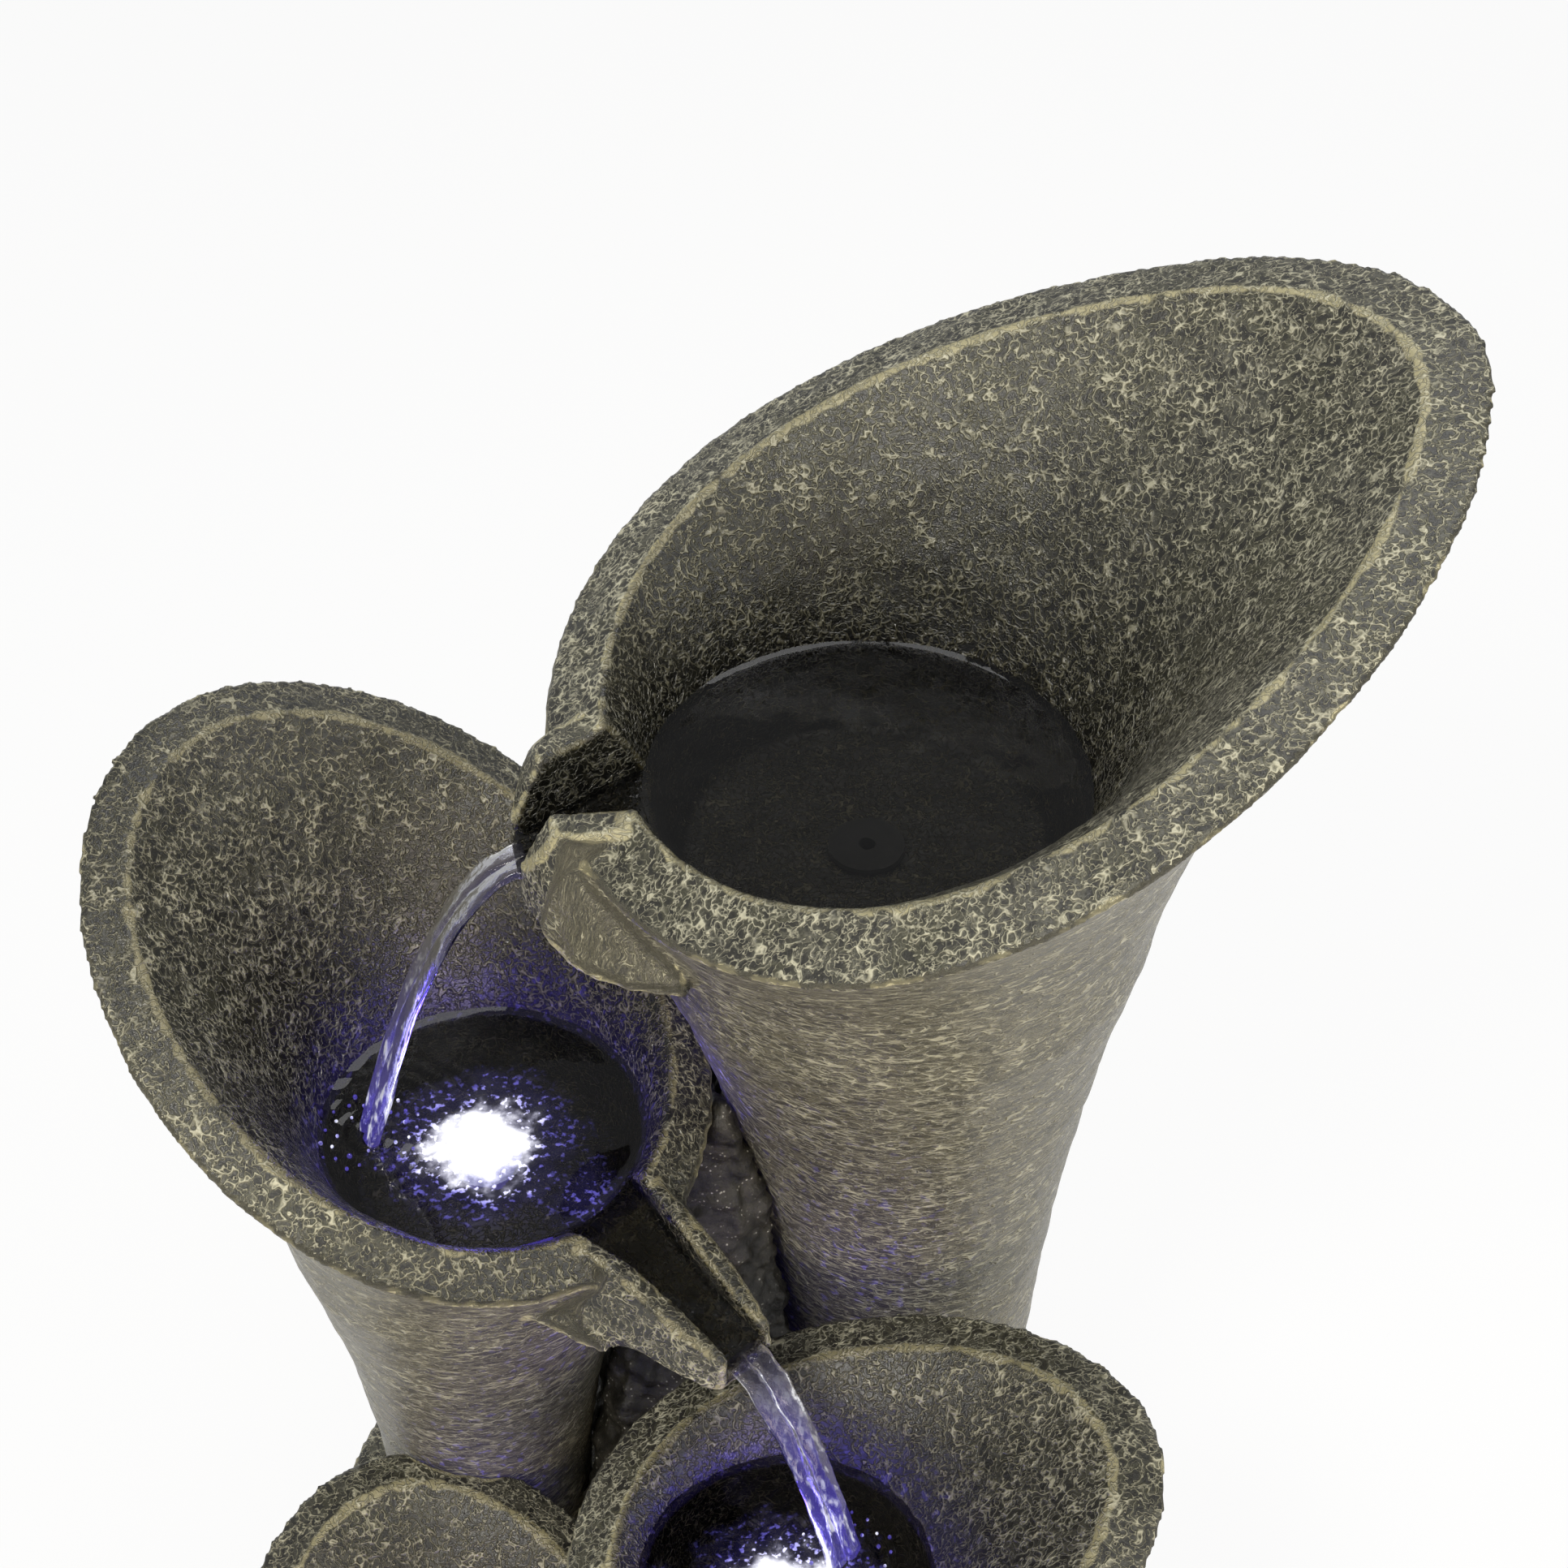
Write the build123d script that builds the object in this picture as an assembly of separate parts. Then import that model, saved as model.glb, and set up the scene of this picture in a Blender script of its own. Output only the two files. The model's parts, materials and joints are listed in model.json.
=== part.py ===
from build123d import *
import os
from dataclasses import dataclass
from math import cos, pi, radians, sin, tan

# Garden fountain: four lily vases that pour into each other, standing in one basin.
# Millimetres, +Z up. The origin is the centre of the basin's footprint on the ground.
# The viewer stands on the -Y side.

# Basin
BASIN_HALF_X = 210.0
BASIN_HALF_Y = 276.0
BASIN_ROUNDNESS = 2.8
BASIN_TOP = 112.0
BASIN_LIP = 18.0
BASIN_LIP_DROP = 5.0
BASIN_FOOT_INSET = 22.0
BASIN_WAIST_Z = 58.0
BASIN_WAIST_INSET = 11.0
BASIN_SKIRT_WALL = 12.0
BASIN_FLOOR_INSET = 24.0
FLOOR_TOP = 40.0
FLOOR_THICK = 12.0
PAD_HEIGHT = 4.0
PAD_RADIUS = 13.0
LEG_RADIUS = 15.0
PAD_SPOTS = ((0.0, 0.0), (105.0, -165.0), (-105.0, -165.0), (110.0, 172.0), (-75.0, 187.0))

# Vases: the centre and height of the water, and the inside radius of the neck there
TOP_X, TOP_Y, TOP_WATER_Z = 75.0, 160.0, 590.0
LEFT_X, LEFT_Y, LEFT_WATER_Z = -101.0, 106.0, 425.0
RIGHT_X, RIGHT_Y, RIGHT_WATER_Z = 40.0, -55.0, 300.0
LOW_X, LOW_Y, LOW_WATER_Z = -111.0, -70.0, 155.0
TOP_NECK = 98.0
LEFT_NECK = 75.0
RIGHT_NECK = 67.0
LOW_NECK = 54.0

# Ridge outline of each rim: an egg in a sloping plane
TOP_RIM_LONG, TOP_RIM_WIDE, TOP_RIM_SHIFT, TOP_RIM_RISE = 188.0, 147.0, 67.0, 79.0
LEFT_RIM_LONG, LEFT_RIM_WIDE, LEFT_RIM_SHIFT, LEFT_RIM_RISE = 144.0, 109.0, 49.0, 52.0
RIGHT_RIM_LONG, RIGHT_RIM_WIDE, RIGHT_RIM_SHIFT, RIGHT_RIM_RISE = 115.0, 92.0, 34.0, 27.0
LOW_RIM_LONG, LOW_RIM_WIDE, LOW_RIM_SHIFT, LOW_RIM_RISE = 103.0, 83.0, 30.0, 28.0
TOP_TILT, LEFT_TILT, RIGHT_TILT, LOW_TILT = 23.0, 28.0, 13.0, 18.0
TOP_APEX, LEFT_APEX, RIGHT_APEX, LOW_APEX = 21.0, 140.0, 14.0, 113.0
TOP_BAND, LEFT_BAND, RIGHT_BAND, LOW_BAND = 31.0, 23.0, 25.0, 22.0
TOP_EGG, LEFT_EGG, RIGHT_EGG, LOW_EGG = 0.20, 0.04, 0.11, 0.10
BAND_DROP = 7.0

# Feet of the stems on the basin floor
TOP_FOOT_X, TOP_FOOT_Y, TOP_FOOT = 82.0, 140.0, 61.0
LEFT_FOOT_X, LEFT_FOOT_Y, LEFT_FOOT = -106.0, 120.0, 50.0
RIGHT_FOOT_X, RIGHT_FOOT_Y, RIGHT_FOOT = 52.0, -52.0, 49.0
LOW_FOOT_X, LOW_FOOT_Y, LOW_FOOT = -104.0, -54.0, 48.0
STEM_WALL = 9.0
BOWL_FLOOR = 14.0
BOWL_TAPER = 14.0
JOIN_GAP = 0.6
GASKET = 2.0

# Stem shape, in neck radii: depth under the water, radius, and lean towards the rim's high side
STEM_STATIONS = ((0.80, 1.19, 0.15), (1.50, 1.00, 0.21), (2.40, 0.83, 0.245), (3.70, 0.70, 0.26))
FLARE_OUT = 0.40
FLARE_UP = 0.50
SHOULDER_OUT = 0.18
SHOULDER_UP = 0.55

# Spouts: azimuth, reach from the neck's axis, and how far the channel falls
TOP_SPOUT, TOP_REACH, TOP_FALL = 192.0, 156.0, 8.0
LEFT_SPOUT, LEFT_REACH, LEFT_FALL = 320.0, 160.0, 30.0
RIGHT_SPOUT, RIGHT_REACH, RIGHT_FALL = 195.0, 124.0, 14.0
LOW_SPOUT, LOW_REACH, LOW_FALL = 293.0, 112.0, 14.0
MOUTH_HALF = 0.34
MOUTH_WALL = 0.42
BROW_WALL = 0.04
MOUTH_KEEL = 0.33
MOUTH_ROOT = 0.95
BEND_SHARE = 0.75
SPOUT_ROOT = 2.0
CHANNEL_START = 0.8
TIP_HALF = 11.0
TIP_WALL = 7.0
TIP_BROW = 1.0
CHANNEL_DEPTH = 9.0
CHANNEL_SIDE = 13.0

# Bolts that hold each stem to the basin floor
BOSS_RADIUS = 9.0
BOSS_HEIGHT = 30.0
BOSS_INSET = 7.0
BOSS_AZIMUTHS = (0.0, 90.0, 180.0)
BOLT_RADIUS = 3.0
BOLT_GRIP = 22.0
BOLT_HEAD = 5.0
BOLT_HEAD_RADIUS = 6.0
WASHER_RADIUS = 8.0
WASHER_THICK = 1.5
BOLT_PLAY = 0.4
THREAD_PLAY = 0.05

# Water intake arches and service hatch of the tall stem
INTAKE_AZIMUTHS = (225.0, 255.0, 285.0, 315.0)
INTAKE_WIDTH = 14.0
INTAKE_HEIGHT = 24.0
HATCH_AZIMUTH = 75.0
HATCH_WIDTH = 64.0
HATCH_LOW, HATCH_HIGH = 140.0, 230.0
HATCH_LEDGE = 6.0
HATCH_GAP = 0.4
HATCH_CENTRE_X, HATCH_CENTRE_Y = 95.0, 163.0
HATCH_REACH = 90.0
KNOB_RADIUS = 9.0
KNOB_STUD = 3.0
KNOB_HEIGHT = 15.0
HATCH_BOSS_FACE = 73.0

# Pump: its own axis runs along Y, the intake faces -Y
PUMP_X = TOP_FOOT_X
PUMP_SET_BACK = 13.0
PUMP_Y = TOP_FOOT_Y + PUMP_SET_BACK
CUP_HEIGHT = 6.0
CUP_RADIUS = 7.0
CUP_SPREAD = 14.0
PUMP_WIDTH, PUMP_HEIGHT = 42.0, 42.0
PUMP_FRONT, PUMP_BACK = -8.0, 22.0
PUMP_ROUND = 4.0
VOLUTE_RADIUS, VOLUTE_DEPTH = 15.0, 9.0
ROTOR_RADIUS, ROTOR_LENGTH = 8.0, 12.0
ROTOR_GAP = 1.0
BLADE_RADIUS, BLADE_THICK, BLADE_WIDE, BLADE_COUNT = 12.5, 1.4, 6.0, 6
SHAFT_RADIUS = 1.5
SHAFT_PLAY = 0.05
BUSH_RADIUS, BUSH_LENGTH = 3.0, 4.0
PLATE_THICK = 3.0
EYE_RADIUS = 8.0
COVER_DEPTH = 18.0
COVER_WALL = 2.0
COVER_GAP = 0.3
SLOT_WIDTH, SLOT_COUNT, SLOT_PITCH = 2.4, 4, 5.0
REGULATOR_RADIUS, REGULATOR_THICK = 12.0, 2.5
REGULATOR_HOLE, REGULATOR_PITCH, REGULATOR_HOLES = 2.8, 7.5, 4
REGULATOR_PIN = 2.0
REGULATOR_RIB_HALF, REGULATOR_RIB_HIGH = 1.2, 3.0

# Riser hose and its fittings
HOSE_BORE, HOSE_RADIUS = 5.0, 7.5
BARB_LENGTH = 21.0
FITTING_BORE = 3.6
NOZZLE_FLANGE, NOZZLE_FLANGE_THICK, NOZZLE_SPIGOT, NOZZLE_SEAT = 8.0, 3.0, 7.0, 5.0
NOZZLE_WALL = 1.5
BULKHEAD_RADIUS, BULKHEAD_FLANGE, BULKHEAD_FLANGE_THICK = 9.0, 17.0, 4.0
BULKHEAD_TAIL = 16.0
SEAL_THICK = 2.0
NUT_THICK = 7.0
NUT_FLAT = 14.0
CLAMP_THICK, CLAMP_WIDE = 1.6, 8.0
HOSE_STRAIGHT = 110.0

# Lamps in the lit vases
LAMP_RADIUS, LAMP_HEIGHT, LAMP_WALL, LAMP_BASE = 21.0, 12.0, 3.0, 4.0
LAMP_STEM = 8.0
LENS_THICK, LENS_LEDGE, LENS_DOME = 2.5, 1.5, 2.5
CHIP_RADIUS, CHIP_HEIGHT, CHIP_COUNT, CHIP_PITCH = 2.2, 1.4, 6, 9.0
BOARD_THICK = 1.6
LEAD_RADIUS = 2.0
LAMP_TAIL = 14.0

# Wiring under the basin floor
LEAD_Z = 17.0
LEAD_BEND = 9.0
LEAD_PLAY = 0.3
LEAD_END = 6.0
PUMP_LEAD_OUT, PUMP_LEAD_BACK = 32.5, 9.0
PUMP_LEAD_X = PUMP_X - PUMP_LEAD_OUT
PUMP_LEAD_Y = PUMP_Y + PUMP_LEAD_BACK
GROMMET_RADIUS, GROMMET_LIP, GROMMET_LIP_THICK = 7.0, 10.0, 2.0
BOX_X, BOX_Y = -8.0, PUMP_LEAD_Y
BOX_WIDE, BOX_DEEP, BOX_HIGH, BOX_WALL, BOX_LID = 64.0, 40.0, 17.0, 2.5, 3.0
BOX_SCREW, BOX_SCREW_HEAD, BOX_SCREW_HEAD_THICK, BOX_SCREW_LONG, BOX_POST = 1.5, 3.0, 2.0, 9.0, 4.0
LAMP_ENTRIES = (-20.0, 7.0, -7.0)
LEAD_BENDS = (116.0, 100.0, 90.0)
GLAND_RADIUS, GLAND_FLANGE, GLAND_Z = 7.0, 10.0, 16.0
SEAT_SKIM = 0.5
GLAND_SEAT, GLAND_INNER = BASIN_FOOT_INSET, BASIN_FOOT_INSET + BASIN_SKIRT_WALL - SEAT_SKIM
GLAND_BORE = 3.5
GLAND_FLANGE_THICK = 4.0
GLAND_NOSE = 12.0
GLAND_NUT_THICK = 5.0

# Drain
DRAIN_RISE = 15.0
DRAIN_BORE, DRAIN_TUBE, DRAIN_FLANGE, DRAIN_FLANGE_THICK = 6.5, 9.0, 14.0, 4.0
DRAIN_SEAT, DRAIN_WALL = 15.0, 6.0
DRAIN_NUT = 11.0
DRAIN_NUT_THICK = 7.0
DRAIN_TAIL = 2.0
PLUG_PLAY = 0.08
PLUG_SEAT = 0.3
PLUG_HEAD, PLUG_HEAD_THICK, PLUG_LONG = 11.0, 6.0, 16.0

# Stone between the stems
STONE_X, STONE_Y = -12.0, 116.0
STONE_TOP_X, STONE_TOP_Y = 2.0, 146.0
STONE_TOP = 480.0
STONE_RADIUS = 66.0
STONE_LAYERS = ((0.0, 1.0), (0.25, 0.95), (0.45, 0.78), (0.7, 0.60), (1.0, 0.34))
STONE_GAP = 3.0
STONE_CLEAR = 70.0
STONE_NEIGHBOURS = ("top", "left")
STONE_SIDES, STONE_LOBES = 11, 3
STONE_ROUGH, STONE_TWIST = 0.10, 4.0

RING_COUNT = 14
FOOT_Z = FLOOR_TOP + GASKET
FLOOR_UNDER = FLOOR_TOP - FLOOR_THICK
PUMP_Z = FLOOR_TOP + CUP_HEIGHT
PUMP_AXIS_Z = PUMP_Z + PUMP_HEIGHT / 2
DRAIN_Z = FLOOR_TOP + DRAIN_RISE
BOX_LOW = FLOOR_UNDER - BOX_HIGH
EDGE_CLEAR = 30.0
UP = Vector(0, 0, 1)
EAST = Vector(1, 0, 0)
BACK = Vector(0, 1, 0)
FRONT = Vector(0, -1, 0)


@dataclass(frozen=True)
class Vase:
    """One lily vase: its bowl, rim, stem foot and spout."""

    node: str
    x: float
    y: float
    water: float
    neck: float
    long: float
    wide: float
    shift: float
    rise: float
    tilt: float
    apex: float
    band: float
    egg: float
    foot_x: float
    foot_y: float
    foot: float
    spout: float
    reach: float
    fall: float

    @property
    def lean(self):
        """Horizontal direction of the rim's highest point."""
        return heading(self.apex)

    @property
    def shoulder_z(self):
        """Height of the highest stem station, which is the underside of the bowl's floor."""
        return self.water - STEM_STATIONS[0][0] * self.neck

    @property
    def floor_z(self):
        """Height of the bowl's floor."""
        return self.shoulder_z + BOWL_FLOOR

    @property
    def bolt_spots(self):
        """Places of the bolts that hold the foot."""
        reach = self.foot - STEM_WALL - BOSS_INSET
        return [Vector(self.foot_x, self.foot_y, 0) + heading(a) * reach for a in BOSS_AZIMUTHS]


def heading(azimuth):
    """Horizontal unit vector at an azimuth in degrees from +X."""
    return Vector(cos(radians(azimuth)), sin(radians(azimuth)), 0)


VASES = {
    "top": Vase("top_vase", TOP_X, TOP_Y, TOP_WATER_Z, TOP_NECK, TOP_RIM_LONG, TOP_RIM_WIDE,
                TOP_RIM_SHIFT, TOP_RIM_RISE, TOP_TILT, TOP_APEX, TOP_BAND, TOP_EGG,
                TOP_FOOT_X, TOP_FOOT_Y, TOP_FOOT, TOP_SPOUT, TOP_REACH, TOP_FALL),
    "left": Vase("left_vase", LEFT_X, LEFT_Y, LEFT_WATER_Z, LEFT_NECK, LEFT_RIM_LONG, LEFT_RIM_WIDE,
                 LEFT_RIM_SHIFT, LEFT_RIM_RISE, LEFT_TILT, LEFT_APEX, LEFT_BAND, LEFT_EGG,
                 LEFT_FOOT_X, LEFT_FOOT_Y, LEFT_FOOT, LEFT_SPOUT, LEFT_REACH, LEFT_FALL),
    "right": Vase("right_vase", RIGHT_X, RIGHT_Y, RIGHT_WATER_Z, RIGHT_NECK, RIGHT_RIM_LONG,
                  RIGHT_RIM_WIDE, RIGHT_RIM_SHIFT, RIGHT_RIM_RISE, RIGHT_TILT, RIGHT_APEX, RIGHT_BAND,
                  RIGHT_EGG, RIGHT_FOOT_X, RIGHT_FOOT_Y, RIGHT_FOOT, RIGHT_SPOUT, RIGHT_REACH, RIGHT_FALL),
    "low": Vase("low_vase", LOW_X, LOW_Y, LOW_WATER_Z, LOW_NECK, LOW_RIM_LONG, LOW_RIM_WIDE,
                LOW_RIM_SHIFT, LOW_RIM_RISE, LOW_TILT, LOW_APEX, LOW_BAND, LOW_EGG,
                LOW_FOOT_X, LOW_FOOT_Y, LOW_FOOT, LOW_SPOUT, LOW_REACH, LOW_FALL),
}
TALLER_NEIGHBOURS = {"top": (), "left": ("top",), "right": ("top",), "low": ("left", "right")}
LIT = ("left", "right", "low")


# Shared forms

def ring(points):
    """Closed smooth wire through points, in four edges, so that lofted faces have no seam."""
    loop = Edge.make_spline(points, periodic=True)
    quarters = (0.0, 0.25, 0.5, 0.75, 1.0)
    return Wire([loop.trim(a, b) for a, b in zip(quarters, quarters[1:])])


def turns(count, start=0.0):
    """Evenly spaced angles of one turn, in radians, from a start azimuth in degrees."""
    return [radians(start) + 2 * pi * i / count for i in range(count)]


def rod(start, direction, length, radius):
    """Cylinder from a start point along a direction."""
    plane = Plane(origin=start, z_dir=direction)
    return Solid.make_cylinder(radius, length, plane)


def tube(start, direction, length, radius, bore):
    """Cylinder with a through bore."""
    return rod(start, direction, length, radius) - rod(start, direction, length, bore)


def hexagon(start, direction, length, across_flats):
    """Hexagonal head along a direction."""
    plane = Plane(origin=start, z_dir=direction)
    outline = plane * RegularPolygon(across_flats / 2, 6, major_radius=False)
    return extrude(outline, length, dir=direction)


def prism(start, direction, length, across_flats, bore):
    """Hexagonal nut along a direction, with a bore."""
    return hexagon(start, direction, length, across_flats) - rod(start, direction, length, bore)


def block(low, high):
    """Box between two corners."""
    low, high = Vector(low), Vector(high)
    size = high - low
    return Solid.make_box(size.X, size.Y, size.Z, Plane(low))


def solid_of(faces):
    """Closed solid from faces that share their edges."""
    return Solid(Shell(faces))


# Vases

def circle_points(centre, radius, start):
    """Points of a horizontal circle, from the azimuth start."""
    return [centre + Vector(radius * cos(t), radius * sin(t), 0) for t in turns(RING_COUNT, start)]


def egg_points(v, grow, drop):
    """Rim outline grown outwards in its own sloping plane, and sunk by drop along the normal."""
    tilt = radians(v.tilt)
    along = v.lean * cos(tilt) + UP * sin(tilt)
    across = UP.cross(v.lean)
    centre = Vector(v.x, v.y, v.water + v.rise) - along.cross(across) * drop
    points = []
    for t in turns(RING_COUNT):
        a = v.shift + (v.long + grow) * cos(t)
        b = (v.wide + grow) * sin(t) * (1 - v.egg * cos(t))
        points.append(centre + along * a + across * b)
    return points


def stem_rings(v, grow):
    """Horizontal sections of the stem, from its foot to its shoulder."""
    rings = [ring(circle_points(Vector(v.foot_x, v.foot_y, FOOT_Z), v.foot + grow, v.apex))]
    for depth, radius, lean in reversed(STEM_STATIONS):
        z = v.water - depth * v.neck
        if z > FOOT_Z + v.neck / 2:
            centre = Vector(v.x, v.y, z) + v.lean * (lean * v.neck)
            rings.append(ring(circle_points(centre, radius * v.neck + grow, v.apex)))
    return rings


def flare_rings(v, grow):
    """Middle and edge of the flare's outside, on curves that leave the stem steeply."""
    depth, radius, lean = STEM_STATIONS[0]
    centre = Vector(v.x, v.y, v.shoulder_z) + v.lean * (lean * v.neck)
    shoulder = circle_points(centre, radius * v.neck + grow, v.apex)
    edge = egg_points(v, v.band + grow, BAND_DROP)
    middle = []
    for low, high in zip(shoulder, edge):
        span = high - low
        bend = low + Vector(span.X * SHOULDER_OUT, span.Y * SHOULDER_OUT, span.Z * SHOULDER_UP)
        middle.append((low + high) * 0.25 + bend * 0.5)
    return [ring(middle), ring(edge)]


def outer_faces(v, grow):
    """Outside of the stem and of the flare."""
    stem, flare = stem_rings(v, grow), flare_rings(v, grow)
    return Shell.make_loft(stem).faces() + Shell.make_loft([stem[-1]] + flare).faces()


def trumpet(v, grow):
    """Outside of stem and flare as one solid, grown by a gap to cut a neighbour clear of it."""
    ends = [Face(stem_rings(v, grow)[0]), Face(flare_rings(v, grow)[-1])]
    return solid_of(outer_faces(v, grow) + ends)


def bowl_rings(v):
    """Ridge, middle of the flare, neck at the water and floor of the bowl."""
    ridge = egg_points(v, 0, 0)
    neck = circle_points(Vector(v.x, v.y, v.water), v.neck, v.apex)
    floor = circle_points(Vector(v.x, v.y, v.floor_z), v.neck - BOWL_TAPER, v.apex)
    middle = []
    for n, r in zip(neck, ridge):
        span = r - n
        middle.append(n + Vector(span.X * FLARE_OUT, span.Y * FLARE_OUT, span.Z * FLARE_UP))
    return ring(ridge), ring(middle), ring(neck), ring(floor)


def shell_of_vase(v):
    """Stem, lip and bowl, sewn from lofted faces."""
    foot, edge = stem_rings(v, 0)[0], flare_rings(v, 0)[-1]
    inner = stem_rings(v, -STEM_WALL)
    ridge, middle, neck, floor = bowl_rings(v)
    faces = outer_faces(v, 0)
    faces += Shell.make_loft([edge, ridge], ruled=True).faces()
    faces += Shell.make_loft([ridge, middle, neck]).faces()
    faces += Shell.make_loft([neck, floor], ruled=True).faces()
    faces += Shell.make_loft(inner).faces()
    return solid_of(faces + [Face(floor), Face(inner[-1]), Face(foot, [inner[0]])])


def spout_frame(v):
    """Plane at the water with X along the spout."""
    return Plane(origin=(v.x, v.y, v.water), x_dir=heading(v.spout), z_dir=UP)


def spout_plan(flank, z):
    """Closed outline at a height, mirrored about the spout's middle line."""
    start, middle, end = flank
    mirrored = [(x, -y) for x, y in (end, middle, start)]
    return Plane.XY.offset(z) * Wire([Spline(start, middle, end), Line(end, mirrored[0]),
                                      Spline(*mirrored), Line(mirrored[2], start)])


def spout_form(v, lower, upper, profile):
    """Body whose plan changes from a lower to an upper flank, and whose side view is a closed profile."""
    heights = [z for x, z in profile]
    tall = Solid.make_loft([spout_plan(lower, min(heights)), spout_plan(upper, max(heights))], ruled=True)
    width = 2 * max(y for x, y in lower + upper)
    wide = extrude(Plane.XZ * Face(Wire(Polyline(*profile, close=True))), width, both=True)
    return spout_frame(v) * (tall & wide)


def spout(v):
    """Outside of the pouring spout, and the channel that is cut through it and the rim."""
    crest = v.long - v.shift
    ridge = crest * cos(radians(v.tilt))
    ridge_top = v.rise - crest * sin(radians(v.tilt))
    tip_floor = -CHANNEL_DEPTH - v.fall
    keel = -CHANNEL_DEPTH - MOUTH_KEEL * v.neck
    bend = ridge + v.band
    mouth = MOUTH_HALF * v.neck
    root, crown = MOUTH_ROOT * v.neck, ridge + SPOUT_ROOT
    base, brow = mouth + MOUTH_WALL * v.neck, mouth + BROW_WALL * v.neck
    outside = spout_form(
        v, ((root, base), (bend, base * BEND_SHARE), (v.reach, TIP_HALF + TIP_WALL)),
        ((root, brow), (bend, brow * BEND_SHARE), (v.reach, TIP_HALF + TIP_BROW)),
        ((crown, ridge_top - SPOUT_ROOT), (bend, ridge_top - BAND_DROP), (v.reach, tip_floor + CHANNEL_SIDE),
         (v.reach, tip_floor - TIP_WALL), (bend, (keel + tip_floor - TIP_WALL) / 2), (root, keel)))
    start, end = v.neck * CHANNEL_START, v.reach + SPOUT_ROOT
    clear = ridge_top + v.band + EDGE_CLEAR
    sides = ((start, mouth), (ridge, mouth * BEND_SHARE), (end, TIP_HALF))
    channel = spout_form(
        v, sides, sides,
        ((start, clear), (end, clear), (end, tip_floor), (ridge, -CHANNEL_DEPTH), (start, -CHANNEL_DEPTH)))
    return outside, channel


def foot_bosses(v):
    """Posts inside the foot that take the bolts."""
    posts = [rod(p + UP * FOOT_Z, UP, BOSS_HEIGHT, BOSS_RADIUS) for p in v.bolt_spots]
    skin = Solid.make_loft(stem_rings(v, -STEM_WALL / 2))
    return [post & skin for post in posts]


def vase(key):
    """Whole vase, cut back where its lip meets a taller stem."""
    v = VASES[key]
    outside, channel = spout(v)
    body = shell_of_vase(v) + outside - channel
    for other in TALLER_NEIGHBOURS[key]:
        body -= trumpet(VASES[other], JOIN_GAP)
    for post in foot_bosses(v):
        body += post
    for spot in v.bolt_spots:
        body -= rod(spot + UP * FOOT_Z, UP, BOLT_GRIP + 2, BOLT_RADIUS + THREAD_PLAY)
    hole = BULKHEAD_RADIUS if key == "top" else LAMP_STEM
    body -= rod(Vector(v.x, v.y, v.shoulder_z - 1), UP, BOWL_FLOOR + 2, hole + BOLT_PLAY)
    return body


def intake_arch(azimuth):
    """Arched cut through the tall stem's foot wall."""
    out = heading(azimuth)
    plane = Plane(origin=(TOP_FOOT_X, TOP_FOOT_Y, FOOT_Z), x_dir=UP.cross(out), z_dir=out)
    spring = INTAKE_HEIGHT - INTAKE_WIDTH / 2
    half = INTAKE_WIDTH / 2
    outline = Wire([Line((-half, -1), (half, -1)), Line((half, -1), (half, spring)),
                    ThreePointArc((half, spring), (0, INTAKE_HEIGHT), (-half, spring)),
                    Line((-half, spring), (-half, -1))])
    near = TOP_FOOT - STEM_WALL - BOSS_INSET
    return extrude(plane.offset(near) * Face(outline), 2 * (STEM_WALL + BOSS_INSET))


def hatch_block(shrink):
    """Prism that marks out the hatch, square to its opening direction."""
    out = heading(HATCH_AZIMUTH)
    middle = (HATCH_LOW + HATCH_HIGH) / 2
    plane = Plane(origin=(HATCH_CENTRE_X, HATCH_CENTRE_Y, middle), x_dir=UP.cross(out), z_dir=out)
    outline = RectangleRounded(HATCH_WIDTH - 2 * shrink, HATCH_HIGH - HATCH_LOW - 2 * shrink, 8 - shrink / 2)
    return extrude(plane.offset(STEM_WALL) * outline, HATCH_REACH)


def top_vase():
    """Tall vase with the hatch opening and the water intake at its foot."""
    v = VASES["top"]
    ledge = Solid.make_loft(stem_rings(v, -STEM_WALL / 2))
    body = vase("top") - (hatch_block(0) - ledge) - hatch_block(HATCH_LEDGE)
    for azimuth in INTAKE_AZIMUTHS:
        body -= intake_arch(azimuth)
    return body


def knob_base():
    """Point on the hatch's boss face where the knob sits."""
    middle = (HATCH_LOW + HATCH_HIGH) / 2
    return Vector(HATCH_CENTRE_X, HATCH_CENTRE_Y, middle) + heading(HATCH_AZIMUTH) * HATCH_BOSS_FACE


def hatch_door():
    """Curved door that lies in the rebate of the tall stem."""
    v = VASES["top"]
    out = heading(HATCH_AZIMUTH)
    under = Solid.make_loft(stem_rings(v, HATCH_GAP - STEM_WALL / 2))
    door = (Solid.make_loft(stem_rings(v, 0)) & hatch_block(HATCH_GAP)) - under
    door += rod(knob_base() - out * STEM_WALL, out, STEM_WALL, KNOB_RADIUS + 1) - under
    door -= rod(knob_base(), out, EDGE_CLEAR, KNOB_RADIUS + 1)
    return door - rod(knob_base() - out * EDGE_CLEAR, out, 2 * EDGE_CLEAR, KNOB_STUD + THREAD_PLAY)


def hatch_knob():
    """Turned knob with its stud in the door."""
    base = knob_base()
    out = heading(HATCH_AZIMUTH)
    r = KNOB_RADIUS
    profile = Wire(Polyline((0, 0), (r * 0.6, 0), (r * 0.45, KNOB_HEIGHT * 0.4), (r, KNOB_HEIGHT * 0.65),
                            (r * 0.8, KNOB_HEIGHT), (0, KNOB_HEIGHT), close=True))
    head = revolve(Plane.XZ * Face(profile), Axis.Z)
    stud = rod(Vector(0, 0, 0), -UP, STEM_WALL, KNOB_STUD)
    return Plane(origin=base, z_dir=out) * (head + stud)


# Basin

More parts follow.
